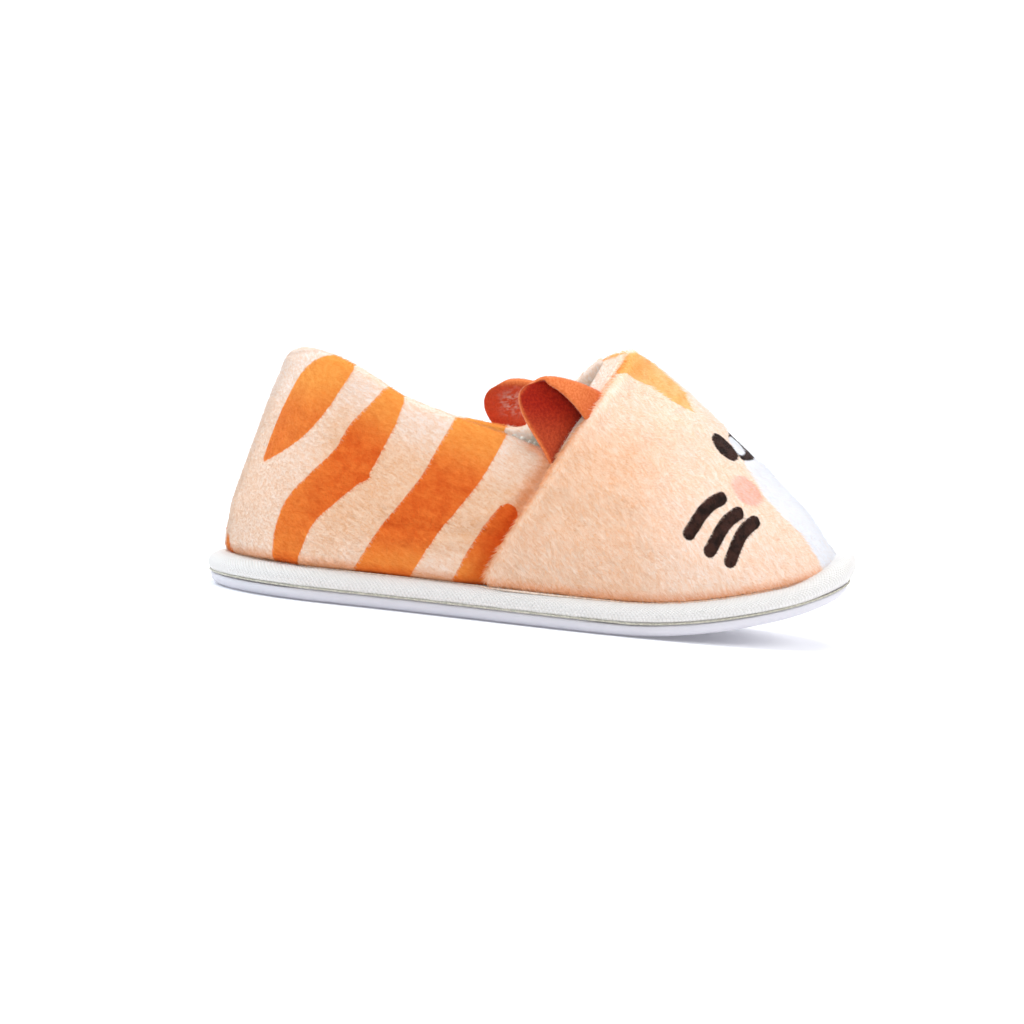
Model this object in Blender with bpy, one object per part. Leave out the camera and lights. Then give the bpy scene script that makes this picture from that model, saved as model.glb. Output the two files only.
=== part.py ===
"""A child's plush animal slipper for the right foot: outsole, wrapped midsole, insole, hollow upper,
face panel over the vamp and two folded felt ears.

Frame: +X to the toe, +Y to the inner side of the foot, +Z up, standing on the floor at Z = 0.
All sizes are in metres. MM turns a size in millimetres into metres.
"""

import math
from collections import namedtuple

import bmesh
import bpy
from mathutils import Vector

MM = 0.001

# Sole: plan and layers
SOLE_HEEL_X = -80.0 * MM
SOLE_TOE_X = 80.0 * MM
SOLE_HEEL_HALF = 27.5 * MM
SOLE_BALL_HALF = 36.0 * MM
HEEL_WIDEST_X = -52.0 * MM
BALL_WIDEST_X = 22.0 * MM
HEEL_POWER = 2.08
TOE_POWER = 2.15
TOE_SWING = 3.0 * MM
SWING_START_X = -30.0 * MM
OUTSOLE_THICK = 3.2 * MM
MIDSOLE_THICK = 4.4 * MM
INSOLE_THICK = 1.8 * MM
GAP = 0.3 * MM

# Toe spring of the whole sole, from the end of the flat forefoot
SPRING_START_X = 18.0 * MM
SPRING_RISE = 13.5 * MM
SPRING_POWER = 1.6

# Upper
WALL = 3.2 * MM
BASE_Z = OUTSOLE_THICK + MIDSOLE_THICK + 2 * GAP
VAMP_THICK = 1.8 * MM
THROAT_FOOT_X = -17.2 * MM
THROAT_TOP_X = 16.3 * MM
THROAT_TOP_Z = 66.8 * MM
THROAT_BOW = -3.4 * MM

# Each row is a level section through the upper's outside: its height over the sole, where it ends
# at heel and front, its half widths there, where the front half is widest, and how square it turns.
Level = namedtuple("Level", "height heel_x heel_half front_x front_half front_wide_x front_power")
LEVELS = [
    Level(0.0, -77.4, 25.0, 75.9, 31.4, 20.0, 2.15),
    Level(12.0, -76.8, 25.6, 67.3, 31.4, 15.0, 2.10),
    Level(24.0, -74.0, 25.2, 57.0, 29.8, 8.0, 2.05),
    Level(36.0, -70.8, 24.0, 45.4, 26.6, 2.0, 2.00),
    Level(46.0, -68.3, 22.6, 35.2, 22.4, -1.0, 2.00),
    Level(54.0, -66.2, 21.0, 25.0, 17.4, -4.0, 2.00),
    Level(64.0, -63.6, 19.0, 11.2, 11.0, -10.0, 2.00),
]

# The collar's edge along the foot, lower on the outer side so that it clears the ankle.
Collar = namedtuple("Collar", "x outer_z inner_z")
COLLAR = [
    Collar(-70.0, 58.6, 58.6),
    Collar(-62.0, 58.2, 58.2),
    Collar(-54.0, 55.4, 55.4),
    Collar(-44.0, 51.0, 51.0),
    Collar(-26.0, 46.4, 46.4),
    Collar(-14.0, 43.9, 44.9),
    Collar(-7.0, 41.9, 44.3),
    Collar(0.0, 38.4, 43.8),
    Collar(20.0, 30.0, 40.0),
]

# Ears: folded felt petals sewn in behind the face panel's edge
EAR_THICK = 1.2 * MM
EAR_ROOT_LOW = 40.5 * MM
EAR_ROOT_HIGH = 57.6 * MM
EAR_TAPER = 0.70
EAR_TIP_POWER = 7
EAR_TIP_SHIFT = -1.2 * MM
EAR_FLAP = 10.0 * MM
EAR_FLAP_END = 0.8
EAR_FOLD_TURN = math.radians(165)
EAR_FOLD_RADIUS = (0.9 * MM, 2.2 * MM)
EAR_CUP = 1.2 * MM
Ear = namedtuple("Ear", "name side length lean_x lean_y lean_z")
EARS = [
    Ear("ear_outer", -1, 18.0, -0.88, 0.02, 0.47),
    Ear("ear_inner", 1, 18.0, -0.94, 0.02, 0.34),
]

# Mesh fineness
HEEL_STEPS, SIDE_STEPS, FRONT_STEPS = 7, 9, 14
WALL_STEPS, CAP_STEPS = 11, 4
PANEL_ROWS, PANEL_COLUMNS, PANEL_CROWD = 16, 36, 1.7
EAR_ROWS, EAR_MAIN_STEPS, EAR_BEND_STEPS, EAR_FLAP_STEPS = 10, 7, 5, 3
EAR_CROWD = 1.7
BISECTIONS = 40
NUDGE = 1e-3

OUTER, INNER = -1, 1


def smooth_step(low, high, value):
    t = min(1.0, max(0.0, (value - low) / (high - low)))
    return t * t * (3 - 2 * t)


def mix(a, b, t):
    return a + (b - a) * t


def along(rows, column, at):
    """A column's value at a place along a table's first column, on a smooth curve through its rows."""
    keys = [row[0] * MM for row in rows]
    values = [getattr(row, column) for row in rows]
    last = len(keys) - 1
    i = next((n for n in range(last - 1) if at < keys[n + 1]), last - 1)

    def slope(n):
        low, high = max(0, n - 1), min(last, n + 1)
        return (values[high] - values[low]) / (keys[high] - keys[low])

    span = keys[i + 1] - keys[i]
    t = min(1.1, max(-0.1, (at - keys[i]) / span))
    start = (2 * t**3 - 3 * t**2 + 1) * values[i] + (t**3 - 2 * t**2 + t) * slope(i) * span
    end = (3 * t**2 - 2 * t**3) * values[i + 1] + (t**3 - t**2) * slope(i + 1) * span
    return start + end


def sole_rise(x):
    """Toe spring: how far the sole has lifted at a place along the foot."""
    if x <= SPRING_START_X:
        return 0.0
    return SPRING_RISE * ((x - SPRING_START_X) / (SOLE_TOE_X - SPRING_START_X)) ** SPRING_POWER


def swing(x):
    """The toe's curve to the inner side of the foot, centred so that both sides reach equally far."""
    share = max(0.0, (x - SWING_START_X) / (SOLE_TOE_X - SWING_START_X))
    at_ball = (BALL_WIDEST_X - SWING_START_X) / (SOLE_TOE_X - SWING_START_X)
    return TOE_SWING * (share**2 - at_ball**2 * smooth_step(SOLE_HEEL_X, BALL_WIDEST_X, x))


def foot_outline(turn, heel_x, heel_half, front_x, front_half, front_wide_x, front_power):
    """(x, half width) on a foot-shaped level section, from the heel at turn 0 to the front at turn 1."""
    quarter = math.pi / 2
    heel_end = HEEL_STEPS / (HEEL_STEPS + SIDE_STEPS + FRONT_STEPS)
    front_start = (HEEL_STEPS + SIDE_STEPS) / (HEEL_STEPS + SIDE_STEPS + FRONT_STEPS)
    if turn < heel_end:
        angle = turn / heel_end * quarter
        x = HEEL_WIDEST_X - (HEEL_WIDEST_X - heel_x) * math.cos(angle) ** (2 / HEEL_POWER)
        return x, heel_half * math.sin(angle) ** (2 / HEEL_POWER)
    if turn < front_start:
        t = (turn - heel_end) / (front_start - heel_end)
        return mix(HEEL_WIDEST_X, front_wide_x, t), mix(heel_half, front_half, smooth_step(0, 1, t))
    angle = min(quarter, (turn - front_start) / (1 - front_start) * quarter)
    x = front_wide_x + (front_x - front_wide_x) * math.sin(angle) ** (2 / front_power)
    return x, front_half * max(0.0, math.cos(angle)) ** (2 / front_power)


def turns():
    """The turns of one side's columns, heel to front."""
    count = HEEL_STEPS + SIDE_STEPS + FRONT_STEPS
    return [n / count for n in range(count + 1)]


def loop_turns():
    """(turn, side) once round a section: up the outer side from heel to front, and back down the inner."""
    one_side = turns()
    return [(t, OUTER) for t in one_side] + [(t, INNER) for t in reversed(one_side[1:-1])]


def upper_point(turn, side, height):
    """A point on the upper's outside, at a height over the sole."""
    row = [along(LEVELS, column, height) * MM for column in Level._fields[1:-1]]
    x, half = foot_outline(turn, *row, along(LEVELS, "front_power", height))
    return Vector((x, side * half + swing(x), BASE_Z + height + sole_rise(x)))


def upper_normal(turn, side, height):
    """The outward direction of the upper's outside."""
    if turn > 1 - NUDGE or turn < NUDGE:
        near = min(1 - NUDGE, max(NUDGE, turn))
        round_it = upper_point(near, INNER, height) - upper_point(near, OUTER, height)
        if turn < 0.5:
            round_it.negate()
    else:
        round_it = upper_point(turn + NUDGE / 2, side, height) - upper_point(turn - NUDGE / 2, side, height)
        round_it *= -side
    up = upper_point(turn, side, height + NUDGE * MM) - upper_point(turn, side, height - NUDGE * MM)
    return round_it.cross(up).normalized()


def throat_x(z):
    """The face panel's rear edge in side view: a line up and forward, bowed a little to the rear."""
    share = (z - BASE_Z) / (THROAT_TOP_Z - BASE_Z)
    return mix(THROAT_FOOT_X, THROAT_TOP_X, share) + THROAT_BOW * 4 * share * (1 - share)


def collar_z(x, side):
    return along(COLLAR, "outer_z" if side == OUTER else "inner_z", x) * MM


def in_opening(point, side):
    """Whether a point of the outside lies in the foot opening, over the collar and behind the throat."""
    return point.z > collar_z(point.x, side) and point.x < throat_x(point.z)


def bisect(low, high, past):
    """The value between low and high where past(value) turns true."""
    for _ in range(BISECTIONS):
        middle = (low + high) / 2
        low, high = (low, middle) if past(middle) else (middle, high)
    return low


def top_height(turn, side):
    """Height over the sole at which a column of the upper reaches the opening's edge."""
    return bisect(0.0, LEVELS[-1].height * MM, lambda h: in_opening(upper_point(turn, side, h), side))


def wall_offset(normal, share):
    """From the outside of the wall to its inside: level at the sole, square to the wall further up."""
    level = Vector((normal.x, normal.y, 0))
    level_offset = level * (WALL / level.length_squared)
    return -mix(level_offset, normal * WALL, smooth_step(0.0, 0.3, share))


def wall_column(turn, side):
    """Points round the wall's section at one column: up the outside, over the rolled edge, down inside."""
    top = top_height(turn, side)
    outside, inside = [], []
    for n in range(WALL_STEPS + 1):
        share = n / WALL_STEPS
        point = upper_point(turn, side, top * share)
        inner = point + wall_offset(upper_normal(turn, side, top * share), share)
        inner.z = max(inner.z, BASE_Z + sole_rise(inner.x)) if n else BASE_Z + sole_rise(inner.x)
        outside.append(point)
        inside.append(inner)
    centre = (outside[-1] + inside[-1]) / 2
    across = outside[-1] - centre
    rise = (outside[-1] - outside[-2]).normalized() * across.length
    cap = []
    for n in range(1, CAP_STEPS):
        angle = math.pi * n / CAP_STEPS
        cap.append(centre + across * math.cos(angle) + rise * math.sin(angle))
    return outside + cap + inside[::-1]


def material(name, colour, roughness):
    made = bpy.data.materials.new(name)
    made.use_nodes = True
    shader = made.node_tree.nodes["Principled BSDF"]
    shader.inputs["Base Color"].default_value = (*colour, 1.0)
    shader.inputs["Roughness"].default_value = roughness
    shader.inputs["Metallic"].default_value = 0.0
    return made


def add_object(name, shape, surface):
    """A smooth-shaded object from a finished bmesh."""
    bmesh.ops.remove_doubles(shape, verts=shape.verts, dist=1e-6)
    bmesh.ops.recalc_face_normals(shape, faces=shape.faces)
    mesh = bpy.data.meshes.new(name)
    shape.to_mesh(mesh)
    shape.free()
    mesh.shade_smooth()
    mesh.set_sharp_from_angle(angle=math.radians(40))
    mesh.materials.append(surface)
    made = bpy.data.objects.new(name, mesh)
    bpy.context.scene.collection.objects.link(made)
    return made


def skin(shape, rows, wrap_rows=False, wrap_columns=False):
    """Quads over a grid of points, its rows or columns joined end to start where asked."""
    grid = [[shape.verts.new(point) for point in row] for row in rows]
    row_count = len(grid) if wrap_rows else len(grid) - 1
    for r in range(row_count):
        one, two = grid[r], grid[(r + 1) % len(grid)]
        column_count = len(one) if wrap_columns else len(one) - 1
        for c in range(column_count):
            d = (c + 1) % len(one)
            shape.faces.new((one[c], one[d], two[d], two[c]))
    return grid


def ladder(shape, ring):
    """Fills a closed ring of a section with quads from side to side, so that it keeps the toe spring."""
    count = len(ring)
    for n in range(count // 2):
        corners = (ring[n], ring[n + 1], ring[-n - 1], ring[-n] if n else None)
        shape.faces.new([v for v in dict.fromkeys(corners) if v])


def sole_ring(inset, z):
    """The sole's outline moved in by an inset, at a height that follows the toe spring."""
    ring = []
    for turn, side in loop_turns():
        x, half = foot_outline(
            turn,
            SOLE_HEEL_X + inset,
            SOLE_HEEL_HALF - inset,
            SOLE_TOE_X - inset,
            SOLE_BALL_HALF - inset,
            BALL_WIDEST_X,
            TOE_POWER,
        )
        ring.append(Vector((x, side * half + swing(x), z + sole_rise(x))))
    return ring


def sole_layer(name, profile, surface):
    """One layer of the sole, from the insets and heights of its edge, bottom to top."""
    shape = bmesh.new()
    rings = skin(shape, [sole_ring(inset, z) for inset, z in profile], wrap_columns=True)
    ladder(shape, rings[0])
    ladder(shape, rings[-1])
    return add_object(name, shape, surface)


def build_outsole():
    edge = (
        (3.0 * MM, 0.0),
        (1.2 * MM, 0.5 * MM),
        (0.4 * MM, 1.5 * MM),
        (0.3 * MM, OUTSOLE_THICK - 0.4 * MM),
        (0.7 * MM, OUTSOLE_THICK),
    )
    return sole_layer("outsole", edge, material("white_sole_rubber", (0.86, 0.87, 0.90), 0.55))


def build_midsole():
    low = OUTSOLE_THICK + GAP
    edge = (
        (0.9 * MM, low),
        (0.2 * MM, low + 0.7 * MM),
        (0.0, low + 1.8 * MM),
        (0.4 * MM, low + 3.1 * MM),
        (1.5 * MM, low + 4.0 * MM),
        (3.0 * MM, low + MIDSOLE_THICK),
    )
    return sole_layer("midsole", edge, material("white_binding_cloth", (0.80, 0.79, 0.76), 0.85))


def insole_ring(clear, height):
    """The upper's inside at a height over the sole, moved in by a clearance."""
    ring = []
    for turn, side in loop_turns():
        normal = upper_normal(turn, side, height)
        level = Vector((normal.x, normal.y, 0))
        point = upper_point(turn, side, height) - level * ((WALL + clear) / level.length_squared)
        ring.append(Vector((point.x, point.y, BASE_Z + height + sole_rise(point.x))))
    return ring


def build_insole():
    edge = (
        (1.0 * MM, 0.0),
        (0.5 * MM, 0.4 * MM),
        (0.5 * MM, INSOLE_THICK - 0.4 * MM),
        (1.0 * MM, INSOLE_THICK),
    )
    shape = bmesh.new()
    rings = skin(shape, [insole_ring(clear, height) for clear, height in edge], wrap_columns=True)
    ladder(shape, rings[0])
    ladder(shape, rings[-1])
    return add_object("insole", shape, material("grey_fleece", (0.55, 0.54, 0.52), 0.95))


def build_upper():
    shape = bmesh.new()
    columns = [wall_column(turn, side) for turn, side in loop_turns()]
    skin(shape, columns, wrap_rows=True, wrap_columns=True)
    return add_object("upper", shape, material("striped_plush", (0.88, 0.62, 0.42), 0.95))


def edge_turn(side, height):
    """The turn at which a level section passes the face panel's rear edge."""
    def past(turn):
        point = upper_point(turn, side, height)
        return point.x > throat_x(point.z)
    return bisect(0.0, 1.0, past)


def panel_row(height, lift):
    """One level row of the face panel, from its outer edge over the toe to its inner edge."""
    row = []
    half_count = PANEL_COLUMNS // 2
    for n in range(-half_count, half_count + 1):
        side = OUTER if n < 0 else INNER
        turn = 1 - abs(n) / half_count * (1 - edge_turn(side, height))
        row.append(upper_point(turn, side, height) + upper_normal(turn, side, height) * lift)
        row[-1].z = max(row[-1].z, BASE_Z + sole_rise(row[-1].x))
    return row


def build_vamp():
    """The face panel: the upper's own form, grown twice, and what lies between ahead of the throat."""
    shape = bmesh.new()
    peak = bisect(0.0, LEVELS[-1].height * MM, lambda h: in_opening(upper_point(1.0, INNER, h), INNER))
    heights = [peak * (1 - (1 - n / PANEL_ROWS) ** PANEL_CROWD) * 0.999 for n in range(PANEL_ROWS + 1)]
    outside = skin(shape, [panel_row(h, GAP + VAMP_THICK) for h in heights])
    inside = skin(shape, [panel_row(h, GAP) for h in heights])
    rim_out = outside[0] + [row[-1] for row in outside[1:]] + outside[-1][-2::-1]
    rim_out += [row[0] for row in outside[-2:0:-1]]
    rim_in = inside[0] + [row[-1] for row in inside[1:]] + inside[-1][-2::-1]
    rim_in += [row[0] for row in inside[-2:0:-1]]
    for n, vertex in enumerate(rim_out):
        m = (n + 1) % len(rim_out)
        shape.faces.new((vertex, rim_out[m], rim_in[m], rim_in[n]))
    return add_object("vamp_panel", shape, material("peach_plush", (0.90, 0.62, 0.42), 0.95))


def ear_sheet(t, half_root):
    """Places across the folded petal at a share t of its length: (along the root, outward, fold angle)."""
    narrow = EAR_TAPER * t + (1 - EAR_TAPER) * t**EAR_TIP_POWER
    radius = mix(*EAR_FOLD_RADIUS, smooth_step(0.0, 0.6, t)) * min(1.0, 2.2 * (1 - t) + 0.25)
    low = mix(-half_root, EAR_TIP_SHIFT, narrow)
    fold = mix(half_root, EAR_TIP_SHIFT, narrow) - radius
    flap = EAR_FLAP * max(0.02, 1 - t / EAR_FLAP_END)
    turn = EAR_FOLD_TURN * (1 - smooth_step(EAR_FLAP_END * 0.7, 1.0, t))
    places = []
    for n in range(EAR_MAIN_STEPS):
        share = n / EAR_MAIN_STEPS
        cup = -EAR_CUP * math.sin(math.pi * share) * smooth_step(0, 0.5, t) * (1 - t)
        places.append((mix(low, fold, share), cup, 0.0))
    for n in range(EAR_BEND_STEPS + 1):
        angle = turn * n / EAR_BEND_STEPS
        places.append((fold + radius * math.sin(angle), radius * (1 - math.cos(angle)), angle))
    end_along, end_out, angle = places[-1]
    for n in range(1, EAR_FLAP_STEPS + 1):
        run = flap * n / EAR_FLAP_STEPS
        places.append((end_along + run * math.cos(angle), end_out + run * math.sin(angle), angle))
    return places


def edge_point(side, z, lift):
    """A point on the face panel's rear edge at a height over the floor, lifted off the upper."""
    turn = edge_turn(side, z - BASE_Z)
    return upper_point(turn, side, z - BASE_Z) + upper_normal(turn, side, z - BASE_Z) * lift


def build_ear(ear):
    """A felt petal whose root lies along the face panel's edge, folded over lengthwise to the outside."""
    shape = bmesh.new()
    lift = GAP + EAR_THICK
    low_end, high_end = (edge_point(ear.side, z, lift) for z in (EAR_ROOT_LOW, EAR_ROOT_HIGH))
    root = (high_end - low_end).normalized()
    half_root = (high_end - low_end).length / 2
    lean = Vector((ear.lean_x, ear.lean_y * ear.side, ear.lean_z)).normalized()
    out = (root.cross(lean) if ear.side == OUTER else lean.cross(root)).normalized()
    rings = []
    for n in range(EAR_ROWS + 1):
        t = 1 - (1 - n / EAR_ROWS) ** EAR_CROWD
        front, back = [], []
        for place, away, angle in ear_sheet(t, half_root):
            share = place / half_root / 2 + 0.5
            straight = mix(low_end, high_end, share)
            curved = edge_point(ear.side, mix(EAR_ROOT_LOW, EAR_ROOT_HIGH, share), lift)
            point = mix(curved, straight, smooth_step(0, 1, t)) + out * away
            point += lean * (ear.length * MM * t + 2 * GAP)
            normal = out * math.cos(angle) - root * math.sin(angle)
            front.append(point + normal * (EAR_THICK / 2))
            back.append(point - normal * (EAR_THICK / 2))
        rings.append(front + back[::-1])
    grid = skin(shape, rings, wrap_columns=True)
    for ring in (grid[0], grid[-1]):
        for n in range(len(ring) // 2 - 1):
            shape.faces.new((ring[n], ring[n + 1], ring[-n - 2], ring[-n - 1]))
    return add_object(ear.name, shape, material(ear.name + "_felt", (0.62, 0.16, 0.06), 0.95))


def main():
    for old in list(bpy.data.objects):
        bpy.data.objects.remove(old)
    slipper = bpy.data.objects.new("slipper", None)
    bpy.context.scene.collection.objects.link(slipper)
    pieces = [build_outsole(), build_midsole(), build_insole(), build_upper(), build_vamp()]
    pieces += [build_ear(ear) for ear in EARS]
    for piece in pieces:
        piece.parent = slipper


main()
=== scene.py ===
import math

import bmesh
import bpy
import numpy as np
from mathutils import Matrix, Vector, noise


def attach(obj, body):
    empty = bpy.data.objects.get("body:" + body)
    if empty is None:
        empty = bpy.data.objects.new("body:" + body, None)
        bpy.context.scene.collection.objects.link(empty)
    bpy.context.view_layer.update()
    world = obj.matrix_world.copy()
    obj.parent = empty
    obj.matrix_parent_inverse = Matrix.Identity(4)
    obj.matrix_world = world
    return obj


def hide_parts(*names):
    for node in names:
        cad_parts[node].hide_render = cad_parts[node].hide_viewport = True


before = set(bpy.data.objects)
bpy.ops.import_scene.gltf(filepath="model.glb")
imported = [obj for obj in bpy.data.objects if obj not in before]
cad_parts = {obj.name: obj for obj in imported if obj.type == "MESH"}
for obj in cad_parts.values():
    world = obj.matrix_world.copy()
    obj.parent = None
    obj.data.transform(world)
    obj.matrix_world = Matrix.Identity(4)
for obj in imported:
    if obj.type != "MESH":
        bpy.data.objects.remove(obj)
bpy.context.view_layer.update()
scene = bpy.context.scene
mm = 0.001
fullTurn = 2 * math.pi
tiny = 1e-6

# the last that the pieces share, in mm: toe spring, the foot's curve inward, heel, throat and collar
last = {"baseHeight": 8.2, "springStart": 18.0, "springEnd": 80.0, "springRise": 13.5, "springPower": 1.6,
        "swing": 3.0, "swingStart": -30.0, "ball": 22.0, "heelCentre": -52.0, "heelRadius": 24.5,
        "throatFoot": -17.2, "throatTop": 16.3, "throatHeight": 66.8, "throatBow": -3.4,
        "apexFrom": 66.0, "apexDrop": 0.55,
        "collarAlong": (-70, -62, -54, -44, -26, -14, -7, 0, 20),
        "collarOuter": (58.6, 58.2, 55.4, 51.0, 46.4, 43.9, 41.9, 38.4, 30.0),
        "collarInner": (58.6, 58.2, 55.4, 51.0, 46.4, 44.9, 44.3, 43.8, 40.0),
        # the middle of the room for the foot
        "coreAlong": (-50, 30), "coreTop": 24}


def srgb(red, green, blue):
    # screen colour, 0 to 255, as the linear colour that sockets take
    parts = [value / 255 for value in (red, green, blue)]
    return (*[p / 12.92 if p <= 0.04045 else ((p + 0.055) / 1.055) ** 2.4 for p in parts], 1.0)


def smoothStep(low, high, value):
    share = np.clip((value - low) / (high - low), 0, 1)
    return share * share * (3 - 2 * share)


def part(look, key, value):
    # a share that comes in over a range: share, from, to
    share, low, high = look[key]
    return share * smoothStep(low, high, value)


def bell(look, key, value):
    # a share that falls off to both sides: share, middle, half width
    share, middle, half = look[key]
    return share * np.exp(-((value - middle) / half) ** 2)


def springAt(x):
    share = np.clip((x - last["springStart"]) / (last["springEnd"] - last["springStart"]), 0, None)
    return last["springRise"] * share ** last["springPower"]


def centreAt(x):
    # the foot's middle line in plan
    span = last["springEnd"] - last["swingStart"]
    share = np.clip((x - last["swingStart"]) / span, 0, None)
    atBall = ((last["ball"] - last["swingStart"]) / span) ** 2
    return last["swing"] * (share ** 2 - atBall * smoothStep(-last["springEnd"], last["ball"], x))


def throatAt(z):
    # the face panel's rear edge, a bowed line from the feather line to the apex
    share = (z - last["baseHeight"]) / (last["throatHeight"] - last["baseHeight"])
    line = last["throatFoot"] + (last["throatTop"] - last["throatFoot"]) * share
    return line + last["throatBow"] * 4 * share * (1 - share)


def softenApex(spots):
    # stuffing rounds the point where throat and ridge meet
    high = np.maximum(spots[:, 2] - last["apexFrom"], 0)
    spots = spots.copy()
    spots[:, 2] -= high * last["apexDrop"]
    return spots


def collarAt(x, y):
    outer = np.interp(x, last["collarAlong"], last["collarOuter"])
    inner = np.interp(x, last["collarAlong"], last["collarInner"])
    return np.where(y < 0, outer, inner)


def isInside(spots, facing):
    # faces of a hollow wall that look at the foot
    x, y, z = spots.T
    core = np.stack((np.clip(x, *last["coreAlong"]), np.zeros(len(x)), np.minimum(z, last["coreTop"])), 1)
    return np.sum(facing * (spots - core), axis=1) < 0


# mesh reading and writing in millimetres
def readVectors(rows, key):
    flat = np.empty(len(rows) * 3)
    rows.foreach_get(key, flat)
    return flat.reshape(-1, 3)


def places(mesh):
    return readVectors(mesh.vertices, "co") / mm


def facings(mesh):
    return readVectors(mesh.vertex_normals, "vector")


def setPlaces(mesh, spots):
    mesh.vertices.foreach_set("co", (spots * mm).ravel())
    mesh.update()


def storeValues(mesh, **named):
    for name, values in named.items():
        kind, key = ("FLOAT_VECTOR", "vector") if values.ndim == 2 else ("FLOAT", "value")
        layer = mesh.attributes.new(name, kind, "POINT")
        layer.data.foreach_set(key, values.astype(np.float32).ravel())


noiseSteps = (7.3, 3.1, 5.7)  # how far one seed's noise lies from the next


def softNoise(spots, size, seed):
    # smooth noise from -1 to 1 with lumps of about this size in mm
    shift = Vector([seed * step for step in noiseSteps])
    return np.array([noise.noise(Vector(spot) / size + shift) for spot in spots])


def addObject(name, data):
    made = bpy.data.objects.new(name, data)
    scene.collection.objects.link(made)
    return made


def addPiece(name, shape):
    mesh = bpy.data.meshes.new(name)
    shape.to_mesh(mesh)
    shape.free()
    for leftOver in ("custom_normal", "sharp_edge", "sharp_face"):
        if leftOver in mesh.attributes:
            mesh.attributes.remove(mesh.attributes[leftOver])
    mesh.shade_smooth()
    return addObject(name, mesh)


def applyModifiers(piece):
    graph = bpy.context.evaluated_depsgraph_get()
    graph.update()
    finished = bpy.data.meshes.new_from_object(piece.evaluated_get(graph), preserve_all_data_layers=True,
                                               depsgraph=graph)
    piece.modifiers.clear()
    rough = piece.data
    piece.data = finished
    bpy.data.meshes.remove(rough)
    finished.name = piece.name
    return piece


def roundOff(piece, levels):
    rounding = piece.modifiers.new("rounding", "SUBSURF")
    rounding.levels = rounding.render_levels = levels
    return applyModifiers(piece)


# how a CAD node's triangles are put back into quads: merge distance in mm, angles in degrees
rebuild = {"mergeWithin": 0.002, "flatWithin": 40, "shapeWithin": 60, "sharpFrom": 45, "levels": 2}


def smoothCopy(nodeName, pieceName, keepEdges=0.0, carve=None):
    # a CAD node's own form, rounded, with its sharp edges held as far as asked
    shape = bmesh.new()
    shape.from_mesh(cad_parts[nodeName].data)
    bmesh.ops.remove_doubles(shape, verts=shape.verts, dist=rebuild["mergeWithin"] * mm)
    bmesh.ops.join_triangles(shape, faces=shape.faces,
                             angle_face_threshold=math.radians(rebuild["flatWithin"]),
                             angle_shape_threshold=math.radians(rebuild["shapeWithin"]))
    if carve:
        carve(shape)
    if keepEdges:
        crease = shape.edges.layers.float.new("crease_edge")
        for edge in shape.edges:
            if edge.calc_face_angle(0) > math.radians(rebuild["sharpFrom"]):
                edge[crease] = keepEdges
    piece = addPiece(pieceName, shape)
    piece.data.materials.clear()
    return roundOff(piece, rebuild["levels"])


def wear(piece, *finishes):
    for finish in finishes:
        piece.data.materials.append(finish)


def settle(piece, slot, *nodeNames):
    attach(piece, "root")
    if nodeNames:
        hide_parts(*nodeNames)
    piece.data.calc_loop_triangles()
    print(f"{piece.name}: {len(piece.data.loop_triangles)} triangles")


# node building
def addNode(tree, kind, inputs=None, **settings):
    made = tree.nodes.new(kind)
    for key, value in settings.items():
        setattr(made, key, value)
    for key, value in (inputs or {}).items():
        if isinstance(value, bpy.types.NodeSocket):
            tree.links.new(value, made.inputs[key])
        else:
            made.inputs[key].default_value = value
    return made


def nodeOut(tree, kind, inputs=None, **settings):
    return addNode(tree, kind, inputs, **settings).outputs[0]


def newFinish(name, **sockets):
    finish = bpy.data.materials.new(name)
    finish.use_nodes = True
    shader = finish.node_tree.nodes["Principled BSDF"]
    for socket, value in sockets.items():
        shader.inputs[socket.replace("_", " ")].default_value = value
    return finish.node_tree, shader, finish


def solve(tree, operation, first, second=0.0):
    return nodeOut(tree, "ShaderNodeMath", {0: first, 1: second}, operation=operation)


def blendColour(tree, share, first, second, way="MIX"):
    return addNode(tree, "ShaderNodeMix", {0: share, 6: first, 7: second}, data_type="RGBA",
                   blend_type=way).outputs[2]


def tinted(tree, colour, tint, share=1.0):
    return blendColour(tree, share, colour, tint, "MULTIPLY")


def ramp(tree, value, low, high, outLow=0.0, outHigh=1.0):
    return nodeOut(tree, "ShaderNodeMapRange", {"Value": value, "From Min": low, "From Max": high,
                   "To Min": outLow, "To Max": outHigh}, interpolation_type="SMOOTHSTEP")


def objectNoise(tree, size, detail=2.0, roughness=0.5, stretch=None):
    # noise with grains of about this size in mm, on Object coordinates, drawn out if asked: degrees, times
    spot = addNode(tree, "ShaderNodeTexCoord").outputs["Object"]
    if stretch:
        turn, length = stretch
        spot = nodeOut(tree, "ShaderNodeMapping", {"Vector": spot, "Rotation": (0, math.radians(turn), 0),
                       "Scale": (length, 1, 1)}, vector_type="TEXTURE")
    return addNode(tree, "ShaderNodeTexNoise", {"Vector": spot, "Scale": 1 / (size * mm), "Detail": detail,
                   "Roughness": roughness}).outputs["Fac"]


def bumpUp(tree, shader, height, strength, depth):
    relief = addNode(tree, "ShaderNodeBump", {"Height": height, "Strength": strength, "Distance": depth * mm})
    tree.links.new(relief.outputs[0], shader.inputs["Normal"])


def grained(tree, look, *stretch):
    # noise, and the range of it that shows
    grain, shown = look
    return ramp(tree, objectNoise(tree, *grain, *stretch), *shown)


def roughen(tree, shader, look):
    # noise as relief: its grain, then strength and depth in mm
    grain, relief = look
    bumpUp(tree, shader, objectNoise(tree, *grain), *relief)


def paint(tree, shader, colour):
    tree.links.new(colour, shader.inputs["Base Color"])


def readValue(tree, name):
    return addNode(tree, "ShaderNodeAttribute", attribute_name=name).outputs["Fac"]


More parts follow.
